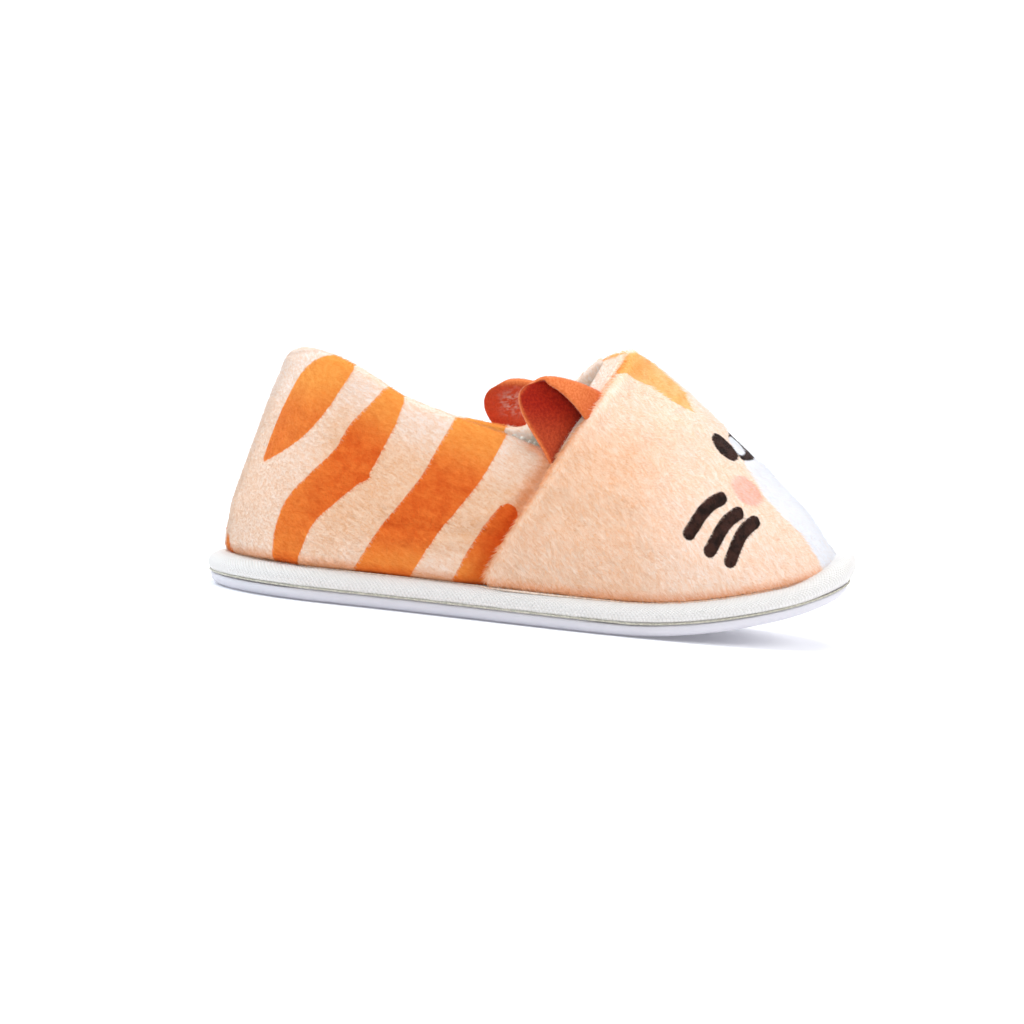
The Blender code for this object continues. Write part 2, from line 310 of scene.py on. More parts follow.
# camera, floor and light: angles in degrees, the camera's lengths in mm
view = {"azimuth": -8.5, "elevation": 2.5, "roll": 6.5, "distance": 800.0, "lens": 112.5, "sensor": 36,
        "lookAt": (0.0, 0.0, 34.0), "aimRight": -6.93, "aimUp": -8.85}


def makeCamera():
    azimuth, elevation = math.radians(view["azimuth"]), math.radians(view["elevation"])
    back = Vector((math.sin(azimuth) * math.cos(elevation), -math.cos(azimuth) * math.cos(elevation),
                   math.sin(elevation)))
    right = Vector((math.cos(azimuth), math.sin(azimuth), 0))
    up = back.cross(right)
    target = Vector(view["lookAt"]) * mm
    eye = target + back * view["distance"] * mm
    back = (eye - target - (right * view["aimRight"] + up * view["aimUp"]) * mm).normalized()
    right = Vector((0, 0, 1)).cross(back).normalized()
    turn = Matrix((right, back.cross(right), back)).transposed()
    turn = turn @ Matrix.Rotation(math.radians(view["roll"]), 3, "Z")
    lens = bpy.data.cameras.new("photoCamera")
    lens.lens = view["lens"]
    lens.sensor_width = view["sensor"]
    camera = addObject("photoCamera", lens)
    camera.matrix_world = Matrix.Translation(eye) @ turn.to_4x4()
    scene.camera = camera


# in metres and watts
studio = {"floorHalf": 3.0, "sweepAt": 1.4, "sweepHeight": 2.6, "sweepRound": 0.7, "sweepSteps": 16,
          "paper": srgb(250, 250, 252), "paperShade": srgb(246, 247, 250), "paperGrain": (40, 3),
          "floorGlow": 0.12, "glowTint": (0.93, 0.94, 1.0, 1.0),
          "skyStrength": 0.28, "skyTint": (0.95, 0.965, 1.0, 1.0), "aim": (0, 0, 0.03),
          # each softbox: place, size, power, tint
          "softboxes": {"keySoftbox": ((1.2, -0.3, 0.95), 1.0, 11.0, (1.0, 0.995, 0.98)),
                        "overheadSoftbox": ((0.0, 0.05, 1.6), 1.2, 14.0, (0.99, 0.995, 1.0)),
                        "heelSoftbox": ((-1.2, -0.35, 0.95), 1.0, 7.1, (0.75, 0.91, 1.0)),
                        "rearSoftbox": ((-0.9, 0.6, 1.3), 1.0, 7.0, (0.97, 0.985, 1.0)),
                        "frontSoftbox": ((-0.2, -1.4, 0.95), 1.0, 4.4, (1.0, 1.0, 1.0))},
          # a small spot reaches into the throat
          "throatSpot": {"place": (-0.12, -0.09, 0.2), "aim": (0.022, 0.012, 0.058), "angle": 18.0,
                         "blend": 0.6, "power": 0.35, "radius": 0.02}}


def makeFloor():
    # a sheet of pale paper that sweeps up behind
    shape = bmesh.new()
    bmesh.ops.create_grid(shape, x_segments=1, y_segments=1, size=studio["floorHalf"])
    bmesh.ops.translate(shape, verts=shape.verts, vec=(0, studio["sweepAt"] - studio["floorHalf"], 0))
    rearLine = studio["sweepAt"] - 0.01
    rear = [edge for edge in shape.edges if all(vert.co.y > rearLine for vert in edge.verts)]
    grown = bmesh.ops.extrude_edge_only(shape, edges=rear)["geom"]
    top = [made for made in grown if isinstance(made, bmesh.types.BMVert)]
    bmesh.ops.translate(shape, verts=top, vec=(0, 0, studio["sweepHeight"]))
    bmesh.ops.bevel(shape, geom=rear, offset=studio["sweepRound"], affect="EDGES",
                    segments=studio["sweepSteps"], profile=0.5, material=-1)
    bmesh.ops.recalc_face_normals(shape, faces=shape.faces)
    if sum(face.normal.z for face in shape.faces) < 0:
        bmesh.ops.reverse_faces(shape, faces=shape.faces)
    sweep = addPiece("paleSweep", shape)
    tree, shader, finish = newFinish("palePaper", Roughness=0.75, Emission_Color=studio["glowTint"],
                                     Emission_Strength=studio["floorGlow"])
    grain = objectNoise(tree, *studio["paperGrain"])
    paint(tree, shader, blendColour(tree, grain, studio["paper"], studio["paperShade"]))
    wear(sweep, finish)


def hangLamp(name, kind, place, aim, power):
    lamp = bpy.data.lights.new(name, kind)
    lamp.energy = power
    holder = addObject(name, lamp)
    holder.location = place
    holder.rotation_euler = (Vector(aim) - Vector(place)).to_track_quat("-Z", "Y").to_euler()
    return lamp


def makeLight():
    for name, (place, size, power, tint) in studio["softboxes"].items():
        lamp = hangLamp(name, "AREA", place, studio["aim"], power)
        lamp.shape = "DISK"
        lamp.size = size
        lamp.color = tint
    small = studio["throatSpot"]
    lamp = hangLamp("throatSpot", "SPOT", small["place"], small["aim"], small["power"])
    lamp.spot_size = math.radians(small["angle"])
    lamp.spot_blend = small["blend"]
    lamp.shadow_soft_size = small["radius"]
    sky = bpy.data.worlds.new("softSky")
    sky.use_nodes = True
    glow = sky.node_tree.nodes["Background"]
    glow.inputs["Color"].default_value = studio["skyTint"]
    glow.inputs["Strength"].default_value = studio["skyStrength"]
    scene.world = sky
    scene.view_settings.view_transform = "Standard"


makeCamera()
makeFloor()
makeLight()
print("camera, floor and light are set")

# the print, in mm. A stroke is a row of points: along the cloth, up it, half width there
quarterPrint = {
    "stripes": (((-75.6, 32.0, 0.4), (-71.5, 38.0, 4.0), (-67.0, 44.5, 6.3), (-63.0, 50.5, 6.5),
                 (-58.5, 54.8, 4.6), (-54.5, 57.0, 2.2)),
                ((-64.2, 7.0, 2.9), (-63.8, 13.5, 3.8), (-61.4, 21.5, 4.4), (-56.0, 28.3, 4.6),
                 (-50.5, 34.6, 4.9), (-47.9, 40.5, 4.9), (-44.7, 46.0, 4.0), (-42.5, 50.6, 3.0)),
                ((-42.5, 4.0, 6.5), (-37.3, 15.5, 6.2), (-32.6, 23.6, 5.8), (-28.4, 30.2, 5.9),
                 (-24.8, 37.0, 6.4), (-21.4, 44.4, 6.4), (-19.0, 50.0, 6.4)),
                ((-20.5, 4.0, 4.6), (-16.6, 15.0, 4.2), (-13.6, 23.0, 3.2), (-12.2, 26.3, 2.5)),
                ((-49.0, 32.4, 2.6), (-46.9, 31.5, 1.1)),
                ((-83.4, 5.0, 3.2), (-85.6, 9.5, 2.0), (-87.4, 14.0, 0.4))),
    "wobble": 0.22,
    # toward the collar the inner side's stripes lean further to the toe
    "farAlong": (-70, -52, -30, -13, 20), "farShift": (0, -6, -13, -6, -6), "farHeight": (32, 44),
    # the throat's facings: where they start, how they look back, and the brow that turns over their edge
    "facingBehind": 4, "facingFrom": 44, "facingTurn": -0.3, "browEdge": 65.4, "browEnd": 2.5}
# painted light: how far the colour is painted paler toward the collar, less so at the throat, then low down,
# then round the heel
quarterFade = {"collar": 0.85, "collarDepth": (15, 1), "throat": (0.4, -18, -8),
               "low": 0.15, "lowHeight": (20, 10), "lowSide": (0.45, -58, -46),
               "heel": 0.5, "heelAlong": (-52, -64), "heelTop": (0.1, 26, 38), "heelStripe": 0.5}
# on the face panel: along the ridge from the throat, then out from it. An oval is its middle and halves
facePrint = {
    "ridgeStart": (18.0, 67.0), "ridgeWay": (0.789, -0.614),
    "brow": ((-6.0, 11.8, 7.2), (0.0, 9.7, 6.6), (5.0, 8.9, 5.7), (10.0, 9.8, 4.9), (14.0, 11.3, 3.0),
             (18.3, 12.6, 0.5)),
    "browRoot": (0.8, 6, -2),  # how far the brow's root pales
    "eye": (31.0, 13.8, 4.4, 2.8), "blush": (41.1, 19.9, 4.7, 2.8), "glint": (33.8, 8.5, 2.8, 3.8),
    "ovalPower": 2.2, "glintOver": 0.3,
    # the nose narrows to its top and is rounder below
    "nose": (35.3, 0.0, 4.7, 12.9), "noseWidest": 36.3, "noseSlope": 0.6, "noseLow": 2.3, "noseHigh": 3.4,
    "muzzleAlong": (36.0, 37.0, 38.5, 41.0, 46.0, 52.0, 60.0, 70.0, 80.0),
    "muzzleHalf": (4.0, 12.5, 14.4, 15.6, 18.0, 18.4, 17.4, 17.4, 17.4), "noMuzzle": -20,
    # whiskers are seen from the side: along the foot and up
    "whiskers": (((40.3, 35.2), (37.6, 33.6), (35.3, 31.2), (32.3, 26.3)),
                 ((45.0, 32.0), (42.4, 30.1), (40.3, 27.2), (38.0, 22.6)),
                 ((49.5, 30.2), (47.0, 28.2), (45.2, 25.3), (43.5, 20.5))),
    "whiskerHalf": 1.72, "wobble": 0.16}
# painted light: how far the face is painted paler, everywhere, then low down, to the toe, to the top, on the
# ridge and over the sole
faceFade = {"all": 0.18, "low": (0.15, 30, 16), "toe": (0.8, 6, 36), "top": (0.75, 37, 57),
            "ridge": (0.95, 25, 13), "ridgeAlong": (2, 14), "sole": (0.25, 26, 14)}


def smoothPath(path, steps=6):
    # more points on a smooth curve through a short row of points
    path = np.array(path, float)
    ends = np.vstack((2 * path[0] - path[1], path, 2 * path[-1] - path[-2]))
    rows = []
    for before, here, there, after in zip(ends, ends[1:], ends[2:], ends[3:]):
        slope = there - before
        bend = 2 * before - 5 * here + 4 * there - after
        twist = 3 * here - before - 3 * there + after
        for t in np.linspace(0, 1, steps, endpoint=False):
            rows.append(0.5 * (2 * here + slope * t + bend * t ** 2 + twist * t ** 3))
    return np.array(rows + [path[-1]])


def strokeDepth(spots, stroke):
    # how far inside a tapering stroke each point lies, negative outside
    farOutside = -50.0
    depth = np.full(len(spots), farOutside)
    for start, end in zip(stroke, stroke[1:]):
        run = end[:2] - start[:2]
        share = np.clip((spots - start[:2]) @ run / (run @ run), 0, 1)
        away = np.linalg.norm(spots - start[:2] - share[:, None] * run, axis=1)
        depth = np.maximum(depth, start[2] + (end[2] - start[2]) * share - away)
    return depth


def ovalDepth(along, across, oval, power=2.0):
    middleAlong, middleAcross, halfAlong, halfAcross = oval
    size = (np.abs((along - middleAlong) / halfAlong) ** power
            + np.abs((across - middleAcross) / halfAcross) ** power) ** (1 / power)
    return (1 - size) * min(halfAlong, halfAcross)


def unrolled(spots):
    # the quarter laid flat: along the side, and on round the heel
    x, y, z = spots.T
    turn = np.arctan2(last["heelCentre"] - x, np.abs(y))
    onHeel = last["heelCentre"] - last["heelRadius"] * turn
    return np.stack((np.where(x < last["heelCentre"], onHeel, x), z), 1)


def printQuarter(mesh):
    spots, way = places(mesh), facings(mesh)
    x, y, z = spots.T
    flat = unrolled(spots)
    shift = np.interp(x, quarterPrint["farAlong"], quarterPrint["farShift"])
    flat[:, 0] += np.where(y > 0, shift * smoothStep(*quarterPrint["farHeight"], z), 0)
    depth = np.max([strokeDepth(flat, smoothPath(stripe)) for stripe in quarterPrint["stripes"]], axis=0)
    # the throat's facings are pale, with the far brow's end turned over the edge
    inner = isInside(spots, way)
    facing = inner | (way[:, 0] < quarterPrint["facingTurn"])
    facing &= (x > throatAt(z) - quarterPrint["facingBehind"]) & (z > quarterPrint["facingFrom"])
    turned = np.minimum(z - quarterPrint["browEdge"], y + quarterPrint["browEnd"])
    depth = np.where(facing, turned, depth)
    storeValues(mesh, orangePrint=depth)
    # painted light: paler toward the collar, on the low sides and round the heel
    dye = quarterFade
    fade = (dye["collar"] - part(dye, "throat", x)) * smoothStep(*dye["collarDepth"], collarAt(x, y) - z)
    fade += (dye["low"] + part(dye, "lowSide", x)) * smoothStep(*dye["lowHeight"], z)
    heel = (dye["heel"] + part(dye, "heelTop", z)) * smoothStep(*dye["heelAlong"], flat[:, 0])
    fade += heel * np.where(depth < 0, 1, dye["heelStripe"])
    # painted light: the facings and the inner sides are painted fully pale
    storeValues(mesh, fade=np.where(facing | inner, 1, np.clip(fade, 0, 1)))


def printFace(mesh):
    x, y, z = places(mesh).T
    out = y - centreAt(x)
    across = np.abs(out)
    startX, startZ = facePrint["ridgeStart"]
    wayX, wayZ = facePrint["ridgeWay"]
    along = (x - startX) * wayX + (z - startZ) * wayZ
    brow = strokeDepth(np.stack((along, across), 1), smoothPath(facePrint["brow"]))
    blush = ovalDepth(along, across, facePrint["blush"])
    muzzle = np.interp(along, facePrint["muzzleAlong"], facePrint["muzzleHalf"], left=facePrint["noMuzzle"])
    muzzle -= across
    noseMiddle, *_, noseHalf = facePrint["nose"]
    narrow = noseHalf - facePrint["noseSlope"] * np.maximum(facePrint["noseWidest"] - along, 0) - across
    power = np.where(along > noseMiddle, facePrint["noseLow"], facePrint["noseHigh"])
    nose = np.minimum(ovalDepth(along, out, facePrint["nose"], power), narrow)
    black = np.maximum(ovalDepth(along, across, facePrint["eye"], facePrint["ovalPower"]), nose)
    side = np.stack((x, z), 1)
    for whisker in facePrint["whiskers"]:
        stroke = smoothPath([(*point, facePrint["whiskerHalf"]) for point in whisker])
        black = np.maximum(black, strokeDepth(side, stroke))
    glint = ovalDepth(along, -out, facePrint["glint"], facePrint["ovalPower"])
    glint = np.minimum(glint, nose + facePrint["glintOver"])
    # painted light: the face painted paler low down, to the toe, to the top, on the ridge and over the sole
    dye = faceFade
    fade = np.max((dye["all"] + part(dye, "low", z), part(dye, "toe", x), part(dye, "top", z),
                   part(dye, "ridge", across) * smoothStep(*dye["ridgeAlong"], along),
                   part(dye, "sole", z - springAt(x))), axis=0)
    storeValues(mesh, browPrint=brow, pinkPrint=blush, whitePrint=muzzle, blackPrint=black, glintPrint=glint,
                browRoot=part(facePrint, "browRoot", along), fade=fade)
    return black


# the plush's colours; the pale cream and the paler orange stand for painted light
plush = {"cream": srgb(243, 209, 181), "creamDeep": srgb(241, 202, 170), "pale": srgb(251, 233, 222),
         "orange": srgb(236, 122, 50), "orangeDeep": srgb(224, 104, 38), "faded": srgb(253, 170, 82),
         "apricot": srgb(254, 204, 146), "apricotDeep": srgb(252, 188, 118), "browRoot": srgb(251, 172, 94),
         "white": srgb(237, 240, 248), "whiteDeep": srgb(235, 238, 247), "whiteNap": 0.35,
         "pink": srgb(253, 205, 195), "pinkDeep": srgb(251, 195, 184),
         "black": srgb(66, 42, 36), "blackDeep": srgb(34, 22, 19), "foot": srgb(251, 210, 180),
         # the nap's own tints: painted shade between strands and painted light on them, painted shade at a
         # fibre's root and light at its tip, a deep and a pale fibre
         "hollow": (0.97, 0.87, 0.77, 1.0), "lit": (1.02, 1.05, 1.08, 1.0),
         "root": (0.96, 0.84, 0.72, 1.0), "tip": (1.02, 1.05, 1.08, 1.0), "tipFrom": (0.0, 0.8),
         "deepFibre": (0.97, 0.91, 0.85, 1.0), "paleFibre": (1.03, 1.07, 1.11, 1.0),
         # grain: size in mm, detail, roughness, and the range of it that shows
         "patch": ((3.0, 4, 0.65), (0.36, 0.66)), "streak": ((0.75, 3, 0.6), (0.34, 0.66)),
         "edge": (1.6, 2, 0.6), "edgeRange": (-0.14, 0.14), "bump": ((0.5, 4, 0.7), (0.6, 0.35))}


def plushFinish(name, layers, wobble, nap, pile):
    tree, shader, finish = newFinish(name, Roughness=0.95, Sheen_Weight=0.12, Sheen_Roughness=0.45,
                                     Specular_IOR_Level=0.1)
    patch = grained(tree, plush["patch"])
    edge = solve(tree, "SUBTRACT", objectNoise(tree, *plush["edge"]), 0.5)
    edge = solve(tree, "MULTIPLY", edge, 2 * wobble)
    # painted shade and light in streaks along the nap
    streak = grained(tree, plush["streak"], nap)
    tint = blendColour(tree, streak, plush["hollow"], plush["lit"])
    if pile:
        # painted shade at each fibre's root, painted light at its tip
        along = ramp(tree, readValue(tree, "tip"), *plush["tipFrom"])
        tint = tinted(tree, tint, blendColour(tree, along, plush["root"], plush["tip"]))
        own = blendColour(tree, readValue(tree, "tone"), plush["deepFibre"], plush["paleFibre"])
        tint = tinted(tree, tint, own)
    colour = blendColour(tree, patch, plush["cream"], plush["creamDeep"])
    # painted light: the cream turns pale where the painted light is strong
    colour = blendColour(tree, readValue(tree, "fade"), colour, plush["pale"])
    colour = tinted(tree, colour, tint)
    for layer, tone in layers:
        inside = ramp(tree, solve(tree, "ADD", readValue(tree, layer), edge), *plush["edgeRange"])
        dyed = blendColour(tree, patch, plush[tone], plush[tone + "Deep"])
        # painted light: the orange turns paler where the painted light is strong
        if tone == "orange":
            dyed = blendColour(tree, readValue(tree, "fade"), dyed, plush["faded"])
        if tone == "apricot":
            dyed = blendColour(tree, readValue(tree, "browRoot"), dyed, plush["browRoot"])
        dyed = tinted(tree, dyed, tint, plush["whiteNap"] if tone == "white" else 1.0)
        colour = blendColour(tree, inside, colour, dyed)
    # painted shade: a warm darkening in troughs, the tuck under the ear, at the foot and on the hem's rear
    # edge
    paint(tree, shader, tinted(tree, colour, plush["foot"], readValue(tree, "foot")))
    if not pile:
        roughen(tree, shader, plush["bump"])
    return finish


# which print attribute takes which tone, from the lowest layer up
faceLayers = (("browPrint", "apricot"), ("pinkPrint", "pink"), ("whitePrint", "white"),
              ("blackPrint", "black"), ("glintPrint", "white"))
quarterLayers = (("orangePrint", "orange"),)


# what grows on a base piece: one small mesh, scattered over the picked part and joined
def namedValue(tree, name, kind="FLOAT"):
    return nodeOut(tree, "GeometryNodeInputNamedAttribute", {"Name": name}, data_type=kind)


def keptValue(tree, geometry, name, value, kind="FLOAT", domain="POINT"):
    stored = {"Geometry": geometry, "Name": name, "Value": value}
    return nodeOut(tree, "GeometryNodeStoreNamedAttribute", stored, data_type=kind, domain=domain)


def randomNumber(tree, low, high, seed):
    return addNode(tree, "FunctionNodeRandomValue", {2: low, 3: high, "Seed": seed},
                   data_type="FLOAT").outputs[1]


def randomVector(tree, low, high, seed):
    return nodeOut(tree, "FunctionNodeRandomValue", {0: low, 1: high, "Seed": seed},
                   data_type="FLOAT_VECTOR")


def startGrowth(base, name, look, pick):
    grower = addObject(name, base.data.copy())
    storeValues(grower.data, grown=pick.astype(float))
    tree = bpy.data.node_groups.new(name, "GeometryNodeTree")
    for way in ("INPUT", "OUTPUT"):
        tree.interface.new_socket("Geometry", in_out=way, socket_type="NodeSocketGeometry")
    cloth = nodeOut(tree, "NodeGroupInput")
    chosen = nodeOut(tree, "FunctionNodeCompare", {0: namedValue(tree, "grown"), 1: 0.5},
                     operation="GREATER_THAN")
    roots = addNode(tree, "GeometryNodeDistributePointsOnFaces", {"Mesh": cloth, "Selection": chosen,
                    "Density": look["perMm"] / mm ** 2, "Seed": look["seed"]})
    return grower, tree, roots


def endGrowth(grower, tree, finish, points, instance, turned, size, tone=None):
    stood = nodeOut(tree, "GeometryNodeInstanceOnPoints", {"Points": points, "Instance": instance,
                    "Rotation": turned, "Scale": size})
    if tone:
        stood = keptValue(tree, stood, "tone", tone, domain="INSTANCE")
    joined = nodeOut(tree, "GeometryNodeRealizeInstances", {0: stood})
    joined = nodeOut(tree, "GeometryNodeSetMaterial", {"Geometry": joined, "Material": finish})
    addNode(tree, "NodeGroupOutput", {0: joined})
    grower.modifiers.new("growth", "NODES").node_group = tree
    applyModifiers(grower)
    grower.data.shade_smooth()
    grower.visible_shadow = False


def growPile(base, name, look, finish, pick):
    # short tapered fibres
    nap, tree, roots = startGrowth(base, name, look, pick)
    rooted = keptValue(tree, roots.outputs["Points"], "cloth", roots.outputs["Normal"], "FLOAT_VECTOR")
    spot = nodeOut(tree, "GeometryNodeInputPosition")

    def scaled(vector, factor):
        return nodeOut(tree, "ShaderNodeVectorMath", {0: vector, "Scale": factor}, operation="SCALE")

    def summed(first, second):
        return nodeOut(tree, "ShaderNodeVectorMath", {0: first, 1: second}, operation="ADD")

    # tufts: neighbours lean the same way, each a little off
    comb = namedValue(tree, "comb", "FLOAT_VECTOR")
    way = summed(scaled(roots.outputs["Normal"], look["stand"]), scaled(comb, look["lay"]))
    for size, strength in look["tufts"]:
        lean = addNode(tree, "ShaderNodeTexNoise", {"Vector": spot, "Scale": 1 / (size * mm), "Detail": 1.0})
        centred = nodeOut(tree, "ShaderNodeVectorMath", {0: lean.outputs["Color"], 1: (0.5, 0.5, 0.5)},
                          operation="SUBTRACT")
        way = summed(way, scaled(centred, strength))
    stray = randomVector(tree, (-1, -1, -1), (1, 1, 1), look["seed"] + 1)
    way = summed(way, scaled(stray, look["stray"]))
    turned = nodeOut(tree, "FunctionNodeAlignRotationToVector", {"Vector": way}, axis="Z")
    long = randomNumber(tree, look["shortest"], 1.0, look["seed"] + 2)
    long = solve(tree, "MULTIPLY", long, namedValue(tree, "pileLength"))
    size = nodeOut(tree, "ShaderNodeCombineXYZ", {0: 1.0, 1: 1.0, 2: long})
    fibre = addNode(tree, "GeometryNodeMeshCone", {"Vertices": 3, "Side Segments": 1, "Fill Segments": 1,
                    "Radius Top": 0.0, "Radius Bottom": look["thick"] * mm / 2, "Depth": look["length"] * mm},
                    fill_type="NGON").outputs["Mesh"]
    height = addNode(tree, "ShaderNodeSeparateXYZ", {0: spot}).outputs[2]
    fibre = keptValue(tree, fibre, "tip", solve(tree, "DIVIDE", height, look["length"] * mm))
    tone = randomNumber(tree, 0.0, 1.0, look["seed"] + 3)
    endGrowth(nap, tree, finish, rooted, fibre, turned, size, tone)
    # fibres take the cloth's own normals, a little roughened, so that the pile shades as one soft surface
    soft = readVectors(nap.data.attributes["cloth"].data, "vector") + facings(nap.data) * look["relief"]
    soft /= np.maximum(np.linalg.norm(soft, axis=1), tiny)[:, None]
    nap.data.normals_split_custom_set_from_vertices(soft.tolist())
    for unused in ("comb", "grown", "cloth", "pileLength"):
        if unused in nap.data.attributes:
            nap.data.attributes.remove(nap.data.attributes[unused])
    return nap


def combed(facing, way):
    # the pile's lay, kept flat on the cloth
    way = np.asarray(way, float)
    flat = way - facing * np.sum(facing * way, axis=1)[:, None]
    return flat / np.maximum(np.linalg.norm(flat, axis=1), tiny)[:, None]


# sole pieces. How far the padded sole's edge swells out at its side, heel and toe, and how much the toe lifts
soleEdge = {"side": 0.8, "heel": 1.2, "heelAlong": (-55, -76), "toe": 1.9, "toeAlong": (50, 76),
            "axis": (-50.0, 45.0), "reach": (12, 22), "liftLow": 0.6, "liftHigh": 4.4, "ringAt": 5.3,
            "ringWithin": 0.4, "ringPerRadian": 40}


def swellSole(spots, low, high, square, grown=1.0):
    # one pillowed layer of the sole, from its lowest to its highest level over the floor
    x, y, z = spots.T
    away = spots[:, :2] - np.stack((np.clip(x, *soleEdge["axis"]), centreAt(x)), 1)
    reach = np.linalg.norm(away, axis=1)
    away /= np.maximum(reach, tiny)[:, None]
    swell = (soleEdge["side"] + (soleEdge["heel"] - soleEdge["side"]) * smoothStep(*soleEdge["heelAlong"], x)
             + (soleEdge["toe"] - soleEdge["side"]) * smoothStep(*soleEdge["toeAlong"], x))
    level = np.clip((z - springAt(x) - low) / (high - low), 0, 1)
    pillow = square + (1 - square) * np.sin(math.pi * level)
    swell = swell * grown * pillow * smoothStep(*soleEdge["reach"], reach)
    puffed = spots.copy()
    puffed[:, :2] += away * swell[:, None]
    return puffed, level


def soleRing(nodeName, height):
    # a CAD piece's outline at a level over the sole, as angles and distances from the middle
    x, y, z = places(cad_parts[nodeName].data).T
    low = np.abs(z - springAt(x) - height) < soleEdge["ringWithin"]
    turn, reach = np.arctan2(y[low], x[low]), np.hypot(x[low], y[low])
    bins = np.round(turn * soleEdge["ringPerRadian"]).astype(int)
    best = [max(np.where(bins == b)[0], key=lambda n: reach[n]) for b in np.unique(bins)]
    return turn[best], reach[best]


outsole = {"white": srgb(221, 218, 224), "shade": srgb(213, 211, 218), "grown": 0.35, "keepEdges": 0.75,
           "layer": (0.0, 3.2, 0.72), "liftAlong": (58, 80), "grain": (9, 4, 0.6),
           "gloss": ((3, 3), (0.3, 0.7, 0.42, 0.58)), "bump": ((0.7, 3), (0.15, 0.2))}
tread = {"border": 3.4, "wall": 0.7, "depth": 0.5, "under": 0.15, "spacing": 5.6, "halfLength": 80,
         "halfWidth": 36, "rootRadius": 1.6, "tipRadius": 1.3, "sides": 12, "spare": 0.6, "sunk": 0.4,
         "clear": 0.02, "round": 0.18, "tipFacing": -0.9}


def recessSole(shape):
    # a shallow field inside a plain border, for the grip dots
    under = [face for face in shape.faces
             if all(vert.co.z / mm - springAt(vert.co.x / mm) < tread["under"] for vert in face.verts)]
    for step in ("border", "wall"):
        bmesh.ops.inset_region(shape, faces=under, thickness=tread[step] * mm, use_even_offset=True)
    field = {vert for face in under for vert in face.verts}
    bmesh.ops.translate(shape, verts=list(field), vec=(0, 0, tread["depth"] * mm))


def makeTread(finish):
    # grip dots that reach down to the floor from the recessed field, in evenly staggered rows
    step = tread["spacing"]
    rows = np.arange(-tread["halfWidth"], tread["halfWidth"], step * math.sqrt(0.75))
    spots = np.array([(along + step / 2 * (row % 2), across) for row, across in enumerate(rows)
                      for along in np.arange(-tread["halfLength"], tread["halfLength"], step)])
    limit = np.interp(np.arctan2(spots[:, 1], spots[:, 0]), *soleRing("outsole", 0.0), period=fullTurn)
    spare = tread["border"] + tread["wall"] + tread["rootRadius"] + tread["spare"]
    spots = spots[np.hypot(*spots.T) < limit - spare]
    floor = springAt(spots[:, 0]) + soleEdge["liftLow"] * smoothStep(*outsole["liftAlong"], spots[:, 0])
    tall = tread["depth"] + tread["sunk"]
    shape = bmesh.new()
    for (x, y), low in zip(spots, floor):
        middle = Vector((x, y, low + tread["clear"] + tall / 2)) * mm
        bmesh.ops.create_cone(shape, cap_ends=True, segments=tread["sides"], radius1=tread["tipRadius"] * mm,
                              radius2=tread["rootRadius"] * mm, depth=tall * mm,
                              matrix=Matrix.Translation(middle))
    tips = [face for face in shape.faces if face.normal.z < tread["tipFacing"]]
    rims = list({edge for face in tips for edge in face.edges})
    bmesh.ops.bevel(shape, geom=rims, offset=tread["round"] * mm, affect="EDGES", segments=2, profile=0.5,
                    material=-1)
    dots = addPiece("gripDots", shape)
    wear(dots, finish)
    settle(dots, "outsole")


def makeOutsole():
    piece = smoothCopy("outsole", "outsoleRubber", outsole["keepEdges"], recessSole)
    spots, _ = swellSole(places(piece.data), *outsole["layer"], outsole["grown"])
    spots[:, 2] += soleEdge["liftLow"] * smoothStep(*outsole["liftAlong"], spots[:, 0])
    setPlaces(piece.data, spots)
    tree, shader, finish = newFinish("whiteSoleRubber", Roughness=0.5, Specular_IOR_Level=0.45)
    grain = objectNoise(tree, *outsole["grain"])
    paint(tree, shader, blendColour(tree, grain, outsole["white"], outsole["shade"]))
    tree.links.new(grained(tree, outsole["gloss"]), shader.inputs["Roughness"])
    roughen(tree, shader, outsole["bump"])
    wear(piece, finish)
    settle(piece, "outsole", "outsole")
    makeTread(finish)


rand = {"cloth": srgb(234, 231, 229), "hollow": srgb(220, 217, 213), "keepEdges": 0.8,
        "layer": (3.5, 7.9, 0.45), "liftAlong": (58, 82), "liftPower": 0.7, "drop": 0.5, "raise": 0.4,
        # the tape draws up in small puckers where it goes round heel and toe
        "pucker": 0.12, "puckerSize": 2.6, "puckerTall": 0.25, "puckerAlong": (45, 62),
        "puckerLevel": (3.6, 6.8),
        # the weave: threads that lean both ways, worn in places, with painted shade in the weave's hollows
        "thread": 0.95, "lean": 0.6, "counterLean": 0.4, "wear": (2.2, 3), "wearShare": 0.8,
        "wearRange": (-0.6, 0.7), "bumpUp": (0.7, 0.15), "outlinePoints": 721}


def tapeFinish():
    tree, shader, finish = newFinish("whiteTapeCloth", Roughness=0.85, Sheen_Weight=0.1,
                                     Specular_IOR_Level=0.25)
    spot = nodeOut(tree, "ShaderNodeUVMap", uv_map="tapeWeave")
    across, up, _ = addNode(tree, "ShaderNodeSeparateXYZ", {0: spot}).outputs
    turns = fullTurn / rand["thread"]
    threads = []
    for way, share in (("ADD", "lean"), ("SUBTRACT", "counterLean")):
        wave = solve(tree, "SINE", solve(tree, "MULTIPLY", solve(tree, way, across, up), turns))
        threads.append(solve(tree, "MULTIPLY", wave, rand[share]))
    height = solve(tree, "ADD", *threads)
    worn = solve(tree, "MULTIPLY", objectNoise(tree, *rand["wear"]), rand["wearShare"])
    # painted shade: the weave's hollows darker, shifted at random by the wear noise
    worn = ramp(tree, solve(tree, "ADD", height, worn), *rand["wearRange"])
    paint(tree, shader, blendColour(tree, worn, rand["hollow"], rand["cloth"]))
    bumpUp(tree, shader, height, *rand["bumpUp"])
    return finish


